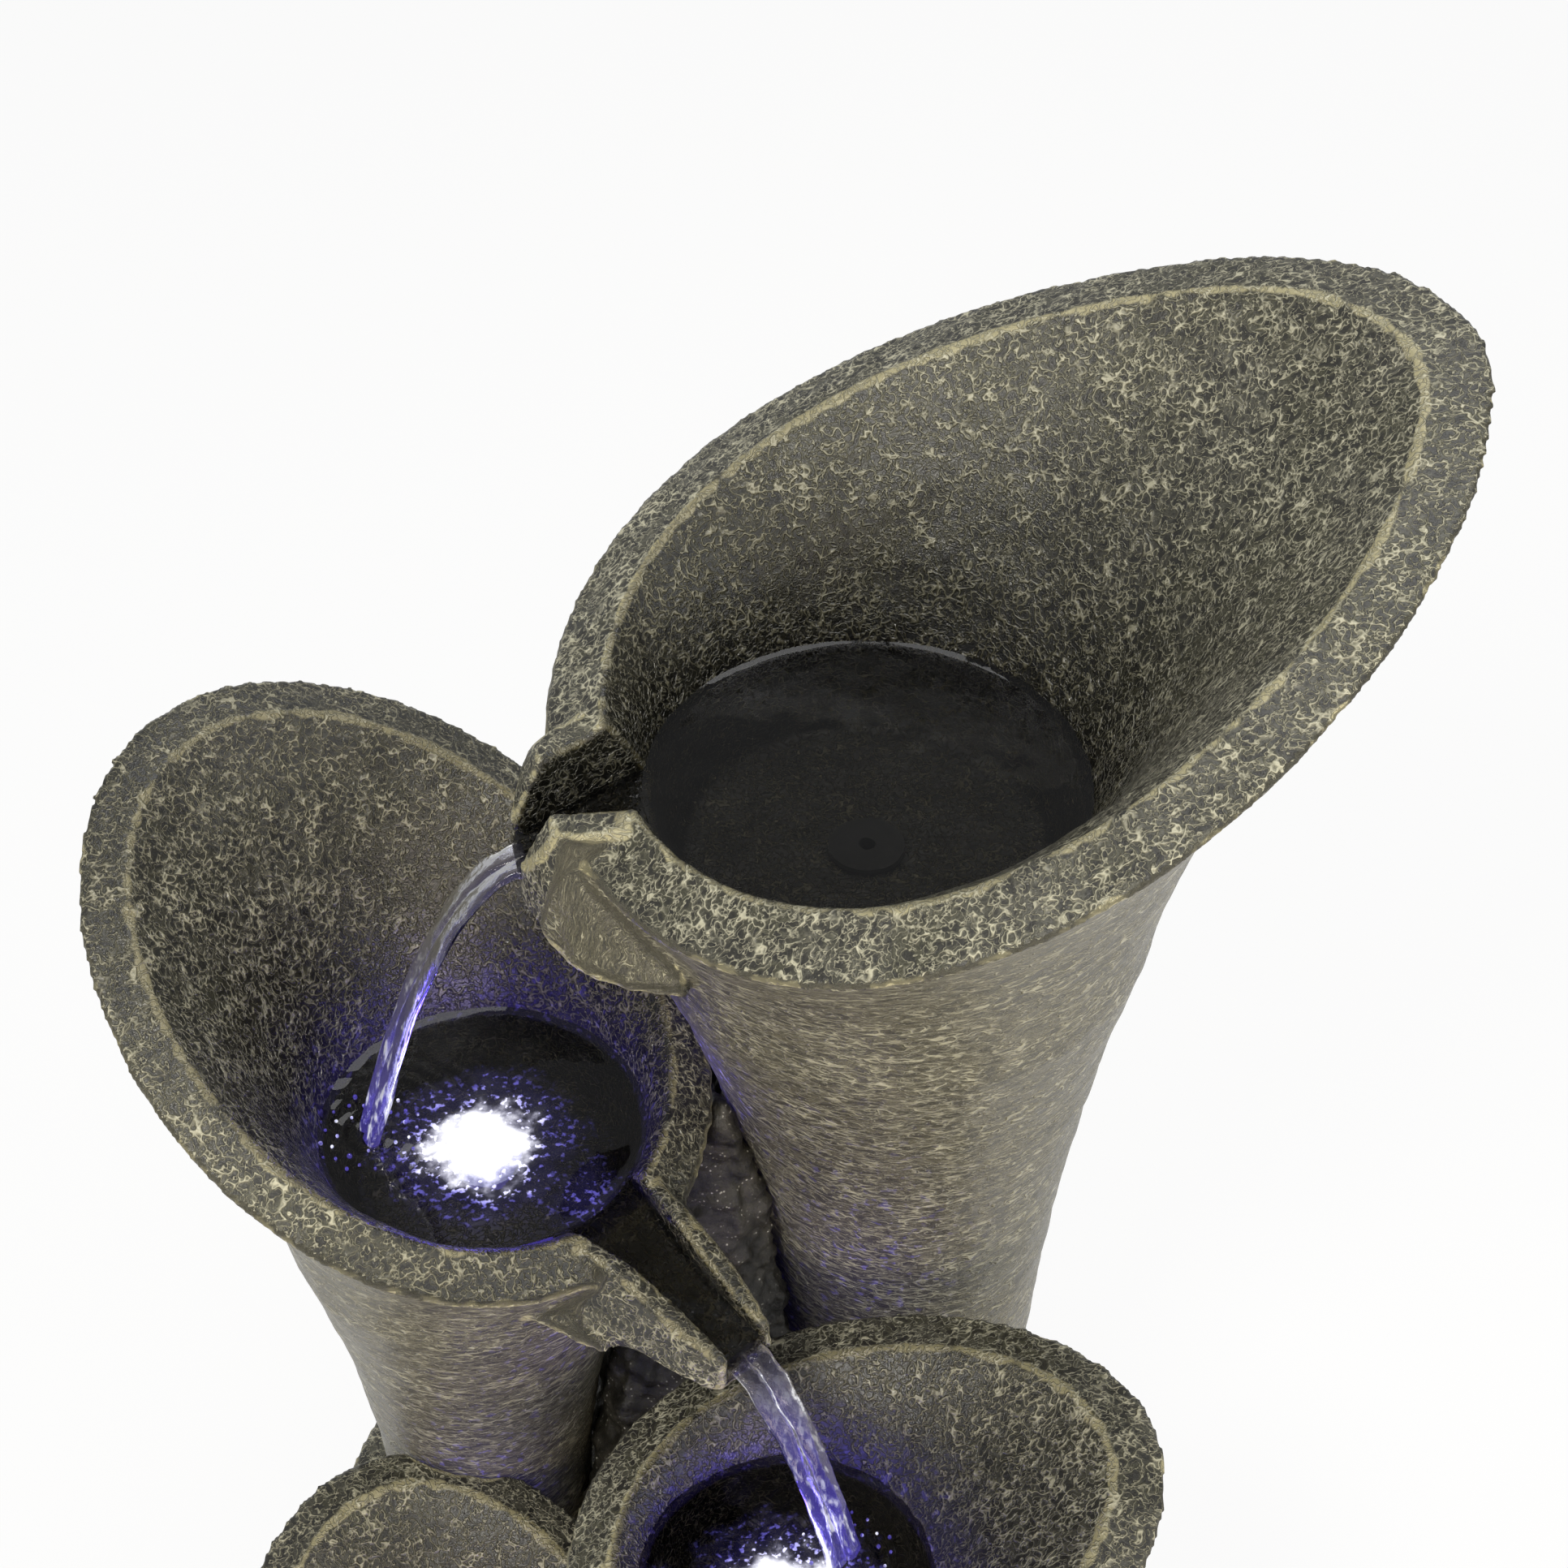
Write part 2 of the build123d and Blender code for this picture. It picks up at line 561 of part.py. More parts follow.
def basin_ring(inset, z):
    """Rounded oblong outline at a height."""
    a, b, power = BASIN_HALF_X - inset, BASIN_HALF_Y - inset, 2 / BASIN_ROUNDNESS
    points = []
    for t in turns(2 * RING_COUNT):
        c, s = cos(t), sin(t)
        points.append(Vector(a * abs(c) ** power * (1 if c > 0 else -1),
                             b * abs(s) ** power * (1 if s > 0 else -1), z))
    return ring(points)


def basin():
    """Open basin with a sloping lip, a raised floor and legs under it."""
    foot = basin_ring(BASIN_FOOT_INSET, PAD_HEIGHT)
    waist = basin_ring(BASIN_WAIST_INSET, BASIN_WAIST_Z)
    edge = basin_ring(0, BASIN_TOP - BASIN_LIP_DROP)
    crest = basin_ring(BASIN_LIP, BASIN_TOP)
    floor = basin_ring(BASIN_FLOOR_INSET, FLOOR_TOP)
    skirt = basin_ring(BASIN_FOOT_INSET + BASIN_SKIRT_WALL, PAD_HEIGHT)
    ceiling = basin_ring(BASIN_FOOT_INSET + BASIN_SKIRT_WALL, FLOOR_UNDER)
    faces = Shell.make_loft([foot, waist, edge]).faces()
    faces += Shell.make_loft([edge, crest], ruled=True).faces()
    faces += Shell.make_loft([crest, floor], ruled=True).faces()
    faces += Shell.make_loft([skirt, ceiling], ruled=True).faces()
    body = solid_of(faces + [Face(floor), Face(ceiling), Face(foot, [skirt])])
    for x, y in PAD_SPOTS:
        body += rod(Vector(x, y, PAD_HEIGHT), UP, FLOOR_UNDER - PAD_HEIGHT + 1, LEG_RADIUS)
    for v in VASES.values():
        for spot in v.bolt_spots:
            body -= rod(spot, UP, FLOOR_TOP + 1, BOLT_RADIUS + BOLT_PLAY)
    for spot in grommet_spots():
        body -= rod(spot, UP, FLOOR_TOP + 1, GROMMET_RADIUS)
    seat, inner = drain_points()
    body -= rod(seat, -EAST, EDGE_CLEAR, DRAIN_FLANGE + 1)
    body -= rod(inner, EAST, EDGE_CLEAR, DRAIN_FLANGE)
    body -= rod(seat - EAST, EAST, EDGE_CLEAR, DRAIN_TUBE + BOLT_PLAY)
    seat, inner = gland_points()
    body -= rod(seat, BACK, EDGE_CLEAR, GLAND_FLANGE + 1)
    body -= rod(inner, FRONT, BASIN_SKIRT_WALL / 2, GLAND_FLANGE + 1)
    return body - rod(inner + FRONT, BACK, EDGE_CLEAR, GLAND_RADIUS + BOLT_PLAY)


def drain_points():
    """Centres of the drain's outer and inner seats in the basin wall."""
    return (Vector(DRAIN_SEAT - BASIN_HALF_X, 0, DRAIN_Z),
            Vector(DRAIN_SEAT + DRAIN_WALL - BASIN_HALF_X, 0, DRAIN_Z))


def gland_points():
    """Centres of the cable gland's outer and inner seats in the basin skirt."""
    return (Vector(BOX_X, BASIN_HALF_Y - GLAND_SEAT, GLAND_Z),
            Vector(BOX_X, BASIN_HALF_Y - GLAND_INNER, GLAND_Z))


def base_pads():
    """Rubber pads under the legs."""
    return [rod(Vector(x, y, 0), UP, PAD_HEIGHT, PAD_RADIUS) for x, y in PAD_SPOTS]


def straight_cuts(v):
    """Stem, flare and the space over the lip in straight pieces, a gap wider than they are."""
    rings = stem_rings(v, STONE_GAP) + flare_rings(v, STONE_GAP)[-1:]
    rings[0] = rings[0].moved(Pos(0, 0, -2 * GASKET))
    rings.append(rings[-1].moved(Pos(0, 0, STONE_CLEAR)))
    return [Solid.make_loft(pair, ruled=True) for pair in zip(rings, rings[1:])]


def stone_core():
    """Rough stone that fills the cleft between the stems, cut clear of them."""
    low, high = Vector(STONE_X, STONE_Y, FLOOR_TOP), Vector(STONE_TOP_X, STONE_TOP_Y, STONE_TOP)
    rings = []
    for share, size in STONE_LAYERS:
        points = []
        for t in turns(STONE_SIDES):
            r = STONE_RADIUS * size * (1 + STONE_ROUGH * cos(STONE_LOBES * t + STONE_TWIST * share))
            points.append(low + (high - low) * share + Vector(r * cos(t), r * sin(t), 0))
        rings.append(Wire(Polyline(*points, close=True)))
    body = Solid.make_loft(rings, ruled=True)
    for key in STONE_NEIGHBOURS:
        for piece in straight_cuts(VASES[key]):
            body -= piece
    return body


# Fixings under the stems

def foot_gaskets():
    """Rubber rings between the feet and the basin floor."""
    rings = []
    for v in VASES.values():
        centre = Vector(v.foot_x, v.foot_y, FLOOR_TOP)
        body = tube(centre, UP, GASKET, v.foot, v.foot - STEM_WALL)
        for spot in v.bolt_spots:
            body += rod(spot + UP * FLOOR_TOP, UP, GASKET, BOSS_RADIUS)
            body -= rod(spot + UP * FLOOR_TOP, UP, GASKET, BOLT_RADIUS + BOLT_PLAY)
        rings.append(body)
    return rings


def foot_bolts():
    """Bolts from under the basin floor into the feet."""
    bolts = []
    for v in VASES.values():
        for spot in v.bolt_spots:
            seat = spot + UP * (FLOOR_UNDER - WASHER_THICK)
            shank = rod(seat, UP, WASHER_THICK + FLOOR_THICK + GASKET + BOLT_GRIP, BOLT_RADIUS)
            bolts.append(shank + hexagon(seat, -UP, BOLT_HEAD, 2 * BOLT_HEAD_RADIUS))
    return bolts


def foot_washers():
    """Washers under the bolt heads."""
    spots = [s for v in VASES.values() for s in v.bolt_spots]
    under = UP * (FLOOR_UNDER - WASHER_THICK)
    return [tube(s + under, UP, WASHER_THICK, WASHER_RADIUS, BOLT_RADIUS + BOLT_PLAY) for s in spots]


# Pump

def pump_point(x, y, z):
    """Point given across the pump, along its axis and up from that axis."""
    return Vector(PUMP_X + x, PUMP_Y + y, PUMP_AXIS_Z + z)


OUTLET_Y = PUMP_FRONT + NOZZLE_SPIGOT + NOZZLE_WALL


def pump_block(width, height, near, far, round_radius):
    """Rounded block about the pump's axis."""
    body = block(pump_point(-width / 2, near, -height / 2), pump_point(width / 2, far, height / 2))
    return fillet(body.edges().filter_by(Axis.Y), round_radius)


def pump_body():
    """Motor block with the volute, the rotor well and the outlet seat."""
    body = pump_block(PUMP_WIDTH, PUMP_HEIGHT, PUMP_FRONT, PUMP_BACK, PUMP_ROUND)
    body -= rod(pump_point(0, PUMP_FRONT, 0), BACK, VOLUTE_DEPTH, VOLUTE_RADIUS)
    well = PUMP_FRONT + VOLUTE_DEPTH
    body -= rod(pump_point(0, well, 0), BACK, ROTOR_LENGTH + ROTOR_GAP, ROTOR_RADIUS + ROTOR_GAP)
    body -= rod(pump_point(0, well + ROTOR_LENGTH + ROTOR_GAP, 0), BACK, BUSH_LENGTH, BUSH_RADIUS)
    top = PUMP_HEIGHT / 2
    body -= rod(pump_point(0, OUTLET_Y, 0), UP, top, FITTING_BORE)
    return body - rod(pump_point(0, OUTLET_Y, top - NOZZLE_SEAT), UP, NOZZLE_SEAT, NOZZLE_SPIGOT)


def shaft_span():
    """Start and length of the impeller shaft, from the front bush to the rear bush."""
    start = PUMP_FRONT - PLATE_THICK
    end = PUMP_FRONT + VOLUTE_DEPTH + ROTOR_LENGTH + ROTOR_GAP + BUSH_LENGTH
    return start, end - start


def impeller_shaft():
    """Ceramic shaft, held still in its two bushes."""
    start, length = shaft_span()
    return rod(pump_point(0, start, 0), BACK, length, SHAFT_RADIUS)


def shaft_bushes():
    """Rubber bushes at both ends of the shaft."""
    start, length = shaft_span()
    front = tube(pump_point(0, start, 0), BACK, PLATE_THICK, BUSH_RADIUS, SHAFT_RADIUS)
    rear = tube(pump_point(0, start + length, 0), FRONT, BUSH_LENGTH, BUSH_RADIUS, SHAFT_RADIUS)
    return [front, rear]


def impeller():
    """Rotor magnet, disc and straight blades in one moulding."""
    blade_start = PUMP_FRONT + VOLUTE_DEPTH - BLADE_WIDE - 1.5
    disc = rod(pump_point(0, blade_start + BLADE_WIDE, 0), BACK, 1.5, BLADE_RADIUS)
    rotor = rod(pump_point(0, blade_start + BLADE_WIDE, 0), BACK, ROTOR_LENGTH + 1.5, ROTOR_RADIUS)
    hub = rod(pump_point(0, blade_start, 0), BACK, BLADE_WIDE, SHAFT_RADIUS + 2)
    body = disc + rotor + hub
    for t in turns(BLADE_COUNT):
        blade = block((0, -BLADE_THICK / 2, 0), (BLADE_RADIUS, BLADE_THICK / 2, BLADE_WIDE))
        plane = Plane(origin=pump_point(0, blade_start, 0), x_dir=(cos(t), 0, sin(t)), z_dir=BACK)
        body += plane * blade
    return body - rod(pump_point(0, PUMP_FRONT - 1, 0), BACK, 2 * EDGE_CLEAR, SHAFT_RADIUS + SHAFT_PLAY)


def impeller_cover():
    """Plate over the volute with the intake eye and the three-armed bush holder."""
    inner_w = PUMP_WIDTH - 2 * (COVER_WALL + COVER_GAP)
    inner_h = PUMP_HEIGHT - 2 * (COVER_WALL + COVER_GAP)
    plate = pump_block(inner_w, inner_h, PUMP_FRONT - PLATE_THICK, PUMP_FRONT, PUMP_ROUND - COVER_WALL)
    start = pump_point(0, PUMP_FRONT - PLATE_THICK, 0)
    plate -= rod(start, BACK, PLATE_THICK, EYE_RADIUS)
    holder = rod(start, BACK, PLATE_THICK, BUSH_RADIUS + 1.5)
    for t in turns(3, 90):
        arm = block((0, -0.9, 0), (EYE_RADIUS + 1, 0.9, PLATE_THICK))
        holder += Plane(origin=start, x_dir=(cos(t), 0, sin(t)), z_dir=BACK) * arm
    return plate + holder - rod(start, BACK, PLATE_THICK, BUSH_RADIUS)


COVER_BACK = PUMP_FRONT - COVER_GAP
COVER_FRONT = COVER_BACK - COVER_DEPTH


def regulator_holes(start, length):
    """Ring of water holes shared by the intake grille and the regulator disc."""
    return [rod(start + Vector(cos(t), 0, sin(t)) * REGULATOR_PITCH, BACK, length, REGULATOR_HOLE)
            for t in turns(REGULATOR_HOLES)]


def intake_grille():
    """Slotted cap over the intake, open at the back."""
    body = pump_block(PUMP_WIDTH, PUMP_HEIGHT, COVER_FRONT, COVER_BACK, PUMP_ROUND)
    body -= pump_block(PUMP_WIDTH - 2 * COVER_WALL, PUMP_HEIGHT - 2 * COVER_WALL,
                       COVER_FRONT + COVER_WALL, COVER_BACK + 1, PUMP_ROUND - COVER_WALL)
    for i in range(SLOT_COUNT):
        z = (i - (SLOT_COUNT - 1) / 2) * SLOT_PITCH
        near, far = COVER_FRONT + 2 * COVER_WALL, COVER_BACK - PLATE_THICK - COVER_WALL
        body -= block(pump_point(-PUMP_WIDTH, near, z - SLOT_WIDTH / 2),
                      pump_point(PUMP_WIDTH, far, z + SLOT_WIDTH / 2))
    face = pump_point(0, COVER_FRONT, 0)
    for hole in regulator_holes(face, COVER_WALL):
        body -= hole
    return body - rod(face, BACK, COVER_WALL, REGULATOR_PIN + SHAFT_PLAY)


def flow_regulator():
    """Disc with water holes, a finger rib and a pivot with a snap head."""
    face = pump_point(0, COVER_FRONT - COVER_GAP, 0)
    body = rod(face, FRONT, REGULATOR_THICK, REGULATOR_RADIUS)
    for hole in regulator_holes(face + FRONT * REGULATOR_THICK, REGULATOR_THICK):
        body -= hole
    rib = face + FRONT * REGULATOR_THICK
    half = Vector(REGULATOR_RIB_HALF, 0, REGULATOR_RADIUS * 0.8)
    finger = block(rib - half + FRONT * REGULATOR_RIB_HIGH, rib + half)
    body += finger.rotate(Axis(rib, BACK), 45)
    body += rod(face, BACK, COVER_WALL + 2 * COVER_GAP, REGULATOR_PIN)
    return body + rod(face + BACK * (COVER_WALL + 2 * COVER_GAP), BACK, 1.5, REGULATOR_PIN + 0.8)


def suction_cups():
    """Rubber feet of the pump."""
    cups = []
    for x in (-CUP_SPREAD, CUP_SPREAD):
        for y in (PUMP_FRONT + CUP_RADIUS, PUMP_BACK - CUP_RADIUS):
            base = Plane(Vector(PUMP_X + x, PUMP_Y + y, FLOOR_TOP))
            cups.append(Solid.make_cone(CUP_RADIUS, CUP_RADIUS / 2, CUP_HEIGHT, base))
    return cups


# Hose

NOZZLE = Vector(PUMP_X, PUMP_Y + OUTLET_Y, PUMP_Z + PUMP_HEIGHT)
HOSE_START = NOZZLE + UP * NOZZLE_FLANGE_THICK
HOSE_END = Vector(TOP_X, TOP_Y, VASES["top"].shoulder_z - BULKHEAD_TAIL)


def outlet_nozzle():
    """Flanged outlet with a hose barb."""
    body = rod(NOZZLE - UP * NOZZLE_SEAT, UP, NOZZLE_SEAT, NOZZLE_SPIGOT)
    body += rod(NOZZLE, UP, NOZZLE_FLANGE_THICK, NOZZLE_FLANGE)
    body += rod(HOSE_START, UP, BARB_LENGTH, HOSE_BORE)
    return body - rod(NOZZLE - UP * NOZZLE_SEAT, UP, 2 * EDGE_CLEAR, FITTING_BORE)


def riser_hose():
    """Hose from the nozzle to the top bowl's fitting, straight at both ends."""
    route = [HOSE_START, HOSE_START + UP * HOSE_STRAIGHT, HOSE_END - UP * HOSE_STRAIGHT, HOSE_END]
    turn = radians((route[2] - route[1]).get_angle(UP))
    radius = 0.45 * HOSE_STRAIGHT / tan(turn / 2)
    path = FilletPolyline(*route, radius=radius)
    section = Plane(origin=HOSE_START, z_dir=UP) * (Circle(HOSE_RADIUS) - Circle(HOSE_BORE))
    return sweep(section, path)


def hose_clamps():
    """Worm-drive clamps at both ends of the hose."""
    clamps = []
    for start in (HOSE_START + UP * CLAMP_WIDE / 2, HOSE_END - UP * CLAMP_WIDE * 1.5):
        band = tube(start, UP, CLAMP_WIDE, HOSE_RADIUS + CLAMP_THICK, HOSE_RADIUS)
        reach = HOSE_RADIUS + CLAMP_THICK - 0.2
        housing = block(start + Vector(-5, -reach - 5, 0), start + Vector(5, -reach, CLAMP_WIDE))
        screw = hexagon(start + Vector(5, -reach - 2.5, CLAMP_WIDE / 2), EAST, 4, 5.5)
        clamps.append(band + housing + screw)
    return clamps


def bulkhead_fitting():
    """Water inlet in the top bowl's floor: flange, threaded tail and barb."""
    v = VASES["top"]
    seat = Vector(v.x, v.y, v.floor_z + SEAL_THICK)
    body = rod(seat, UP, BULKHEAD_FLANGE_THICK, BULKHEAD_FLANGE)
    body += rod(HOSE_END, UP, seat.Z - HOSE_END.Z, BULKHEAD_RADIUS)
    body += rod(HOSE_END - UP * BARB_LENGTH, UP, BARB_LENGTH, HOSE_BORE)
    return body - rod(HOSE_END - UP * BARB_LENGTH, UP, 4 * EDGE_CLEAR, FITTING_BORE)


def fitting_seal():
    """Flat seal under the fitting's flange."""
    v = VASES["top"]
    return tube(Vector(v.x, v.y, v.floor_z), UP, SEAL_THICK, BULKHEAD_FLANGE, BULKHEAD_RADIUS)


def fitting_nut():
    """Nut under the top bowl's floor."""
    v = VASES["top"]
    return prism(Vector(v.x, v.y, v.shoulder_z), -UP, NUT_THICK, 2 * NUT_FLAT, BULKHEAD_RADIUS)


# Lamps

def lamp_base(key):
    """Point on the bowl's floor under a lamp."""
    v = VASES[key]
    return Vector(v.x, v.y, v.floor_z)


LENS_Z = SEAL_THICK + LAMP_HEIGHT - LENS_THICK


def lamp_housing(key):
    """Round cup with a threaded tail through the bowl's floor."""
    base = lamp_base(key)
    body = rod(base + UP * SEAL_THICK, UP, LAMP_HEIGHT, LAMP_RADIUS)
    body -= rod(base + UP * (SEAL_THICK + LAMP_BASE), UP, LAMP_HEIGHT, LAMP_RADIUS - LAMP_WALL - LENS_LEDGE)
    body -= rod(base + UP * LENS_Z, UP, LAMP_HEIGHT, LAMP_RADIUS - LAMP_WALL)
    tail = BOWL_FLOOR + LAMP_TAIL
    body += rod(base - UP * tail, UP, tail + SEAL_THICK, LAMP_STEM)
    return body - rod(base - UP * tail, UP, tail + SEAL_THICK + LAMP_BASE, LEAD_RADIUS)


def lamp_board(key):
    """Round board that carries the light chips."""
    base = lamp_base(key) + UP * (SEAL_THICK + LAMP_BASE)
    body = rod(base, UP, BOARD_THICK, LAMP_RADIUS - LAMP_WALL - LENS_LEDGE)
    for t in turns(CHIP_COUNT):
        spot = base + Vector(cos(t), sin(t), 0) * CHIP_PITCH + UP * BOARD_THICK
        body += rod(spot, UP, CHIP_HEIGHT, CHIP_RADIUS)
    return body


def lamp_lens(key):
    """Clear lens with a low dome."""
    base = lamp_base(key) + UP * LENS_Z
    r = LAMP_RADIUS - LAMP_WALL
    crown = LENS_THICK + LENS_DOME
    bulge = (r * r / LENS_DOME + LENS_DOME) / 2
    outline = Wire([Line((0, 0), (r, 0)), Line((r, 0), (r, LENS_THICK)),
                    RadiusArc((r, LENS_THICK), (0, crown), -bulge), Line((0, crown), (0, 0))])
    return Plane(base) * revolve(Plane.XZ * Face(outline), Axis.Z)


def lamp_seal(key):
    """Flat seal under a lamp."""
    return tube(lamp_base(key), UP, SEAL_THICK, LAMP_RADIUS - 1, LAMP_STEM)


def lamp_nut(key):
    """Nut that holds a lamp from under the floor."""
    return prism(lamp_base(key) - UP * BOWL_FLOOR, -UP, NUT_THICK, 2 * NUT_FLAT - 4, LAMP_STEM)


# Wiring

def grommet_spots():
    """Places where leads pass the basin floor."""
    return [Vector(VASES[k].x, VASES[k].y, 0) for k in LIT] + [Vector(PUMP_LEAD_X, PUMP_LEAD_Y, 0)]


def floor_grommets():
    """Rubber grommets round the leads."""
    grommets = []
    for spot in grommet_spots():
        body = rod(spot + UP * FLOOR_UNDER, UP, FLOOR_THICK, GROMMET_RADIUS)
        body += rod(spot + UP * FLOOR_TOP, UP, GROMMET_LIP_THICK, GROMMET_LIP)
        body += rod(spot + UP * FLOOR_UNDER, -UP, GROMMET_LIP_THICK, GROMMET_LIP)
        grommets.append(body - rod(spot, UP, 2 * FLOOR_TOP, LEAD_RADIUS))
    return grommets


def lead_tube(route):
    """Round lead along straight runs joined by arcs."""
    path = FilletPolyline(*route, radius=LEAD_BEND)
    direction = (route[1] - route[0]).normalized()
    return sweep(Plane(origin=route[0], z_dir=direction) * Circle(LEAD_RADIUS), path)


def box_entry(entry):
    """End of a lead just inside the front of the junction box."""
    return Vector(BOX_X + entry, BOX_Y - BOX_DEEP / 2 + LEAD_END, LEAD_Z)


def box_side_entry():
    """End of the pump's lead just inside the side of the junction box."""
    return Vector(BOX_X + BOX_WIDE / 2 - LEAD_END, PUMP_LEAD_Y, LEAD_Z)


def lamp_leads():
    """Leads from the lamps down the stems to the junction box."""
    leads = []
    for key, entry, bend in zip(LIT, LAMP_ENTRIES, LEAD_BENDS):
        base = lamp_base(key)
        leads.append(lead_tube([base + UP * (SEAL_THICK + LAMP_BASE), Vector(base.X, base.Y, LEAD_Z),
                                Vector(BOX_X + entry, bend, LEAD_Z), box_entry(entry)]))
    return leads


def pump_lead():
    """Lead from the pump's side through the basin floor to the junction box."""
    side = Vector(PUMP_X - PUMP_WIDTH / 2, PUMP_LEAD_Y, PUMP_AXIS_Z)
    return lead_tube([side, Vector(PUMP_LEAD_X, PUMP_LEAD_Y, PUMP_AXIS_Z),
                      Vector(PUMP_LEAD_X, PUMP_LEAD_Y, LEAD_Z), box_side_entry()])


def box_corners():
    """Places of the lid screws."""
    x, y = BOX_WIDE / 2 - BOX_POST, BOX_DEEP / 2 - BOX_POST
    return [Vector(BOX_X + i * x, BOX_Y + j * y, BOX_LOW) for i in (-1, 1) for j in (-1, 1)]


def junction_box():
    """Box bonded under the basin floor, open downwards, with screw posts and lead holes."""
    low = Vector(BOX_X - BOX_WIDE / 2, BOX_Y - BOX_DEEP / 2, BOX_LOW)
    high = Vector(BOX_X + BOX_WIDE / 2, BOX_Y + BOX_DEEP / 2, FLOOR_UNDER)
    wall = Vector(BOX_WALL, BOX_WALL, 0)
    body = block(low, high) - block(low + wall, high - wall - UP * BOX_WALL)
    for corner in box_corners():
        body += rod(corner, UP, BOX_HIGH, BOX_POST)
        body -= rod(corner, UP, BOX_SCREW_LONG, BOX_SCREW + THREAD_PLAY)
    for entry in LAMP_ENTRIES:
        body -= rod(box_entry(entry), FRONT, 2 * LEAD_END, LEAD_RADIUS + LEAD_PLAY)
    body -= rod(box_side_entry(), EAST, 2 * LEAD_END, LEAD_RADIUS + LEAD_PLAY)
    return body - rod(Vector(BOX_X, BOX_Y, GLAND_Z), BACK, BOX_DEEP, GLAND_BORE)


def junction_lid():
    """Lid under the junction box."""
    low = Vector(BOX_X - BOX_WIDE / 2, BOX_Y - BOX_DEEP / 2, BOX_LOW - BOX_LID)
    body = block(low, low + Vector(BOX_WIDE, BOX_DEEP, BOX_LID))
    for corner in box_corners():
        body -= rod(corner, -UP, BOX_LID, BOX_SCREW + BOLT_PLAY)
    return body


def lid_screws():
    """Screws through the lid into the box's posts."""
    screws = []
    for corner in box_corners():
        seat = corner - UP * BOX_LID
        head = rod(seat, -UP, BOX_SCREW_HEAD_THICK, BOX_SCREW_HEAD)
        screws.append(head + rod(seat, UP, BOX_LID + BOX_SCREW_LONG - 1, BOX_SCREW))
    return screws


def cord_gland():
    """Cable gland through the basin skirt, with an open bore for the mains cord."""
    seat, inner = gland_points()
    end = inner + FRONT * (GLAND_NUT_THICK + DRAIN_TAIL)
    body = rod(end, BACK, seat.Y - end.Y, GLAND_RADIUS)
    body += rod(seat, BACK, GLAND_FLANGE_THICK, GLAND_FLANGE)
    nose = hexagon(seat + BACK * GLAND_FLANGE_THICK, BACK, GLAND_NOSE, 2 * GLAND_RADIUS)
    return body + nose - rod(end, BACK, 2 * EDGE_CLEAR, GLAND_BORE)


def gland_nut():
    """Nut of the cable gland, inside the skirt."""
    seat, inner = gland_points()
    return prism(inner, FRONT, GLAND_NUT_THICK, 2 * GLAND_FLANGE - 2, GLAND_RADIUS)


# Drain

def drain_bush():
    """Flanged drain tube through the basin wall."""
    seat, inner = drain_points()
    end = inner + EAST * (DRAIN_NUT_THICK + DRAIN_TAIL)
    body = rod(seat, EAST, end.X - seat.X, DRAIN_TUBE)
    body += rod(seat, -EAST, DRAIN_FLANGE_THICK, DRAIN_FLANGE)
    return body - rod(end, -EAST, 2 * EDGE_CLEAR, DRAIN_BORE)


def drain_nut():
    """Nut on the drain tube, inside the basin."""
    seat, inner = drain_points()
    return prism(inner, EAST, DRAIN_NUT_THICK, 2 * DRAIN_NUT, DRAIN_TUBE)


def drain_plug():
    """Plug that pushes into the drain tube."""
    seat, inner = drain_points()
    face = seat - EAST * (DRAIN_FLANGE_THICK + PLUG_SEAT)
    body = rod(face, EAST, PLUG_LONG, DRAIN_BORE - PLUG_PLAY)
    return body + rod(face, -EAST, PLUG_HEAD_THICK, PLUG_HEAD)


def parts():
    """Every node with its shape."""
    pieces = {v.node: top_vase() if key == "top" else vase(key) for key, v in VASES.items()}
    for make in (basin, base_pads, stone_core, foot_gaskets, foot_bolts, foot_washers, hatch_door, hatch_knob,
                 pump_body, impeller_cover, intake_grille, flow_regulator, impeller, impeller_shaft,
                 shaft_bushes, suction_cups, outlet_nozzle, riser_hose, hose_clamps, bulkhead_fitting,
                 fitting_seal, fitting_nut, floor_grommets, lamp_leads, pump_lead, junction_box,
                 junction_lid, lid_screws, cord_gland, gland_nut, drain_bush, drain_nut, drain_plug):
        pieces[make.__name__] = make()
    for make in (lamp_housing, lamp_board, lamp_lens, lamp_seal, lamp_nut):
        for key in LIT:
            pieces[f"{key}_{make.__name__}"] = make(key)
    return pieces


if __name__ == "__main__":
    os.makedirs("parts", exist_ok=True)
    for node, shape in parts().items():
        if isinstance(shape, list):
            shape = Compound(shape)
        export_step(shape, f"parts/{node}.step")
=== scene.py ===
"""Looks of a garden fountain: four lily vases of cast stone that pour into each other over a basin."""

import json
import logging
from dataclasses import dataclass, field
from enum import Enum
from math import atan2, cos, exp, pi, radians, sin, sqrt
from typing import Any, Callable, Sequence

import bpy
import numpy as np
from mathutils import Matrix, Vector, kdtree, noise


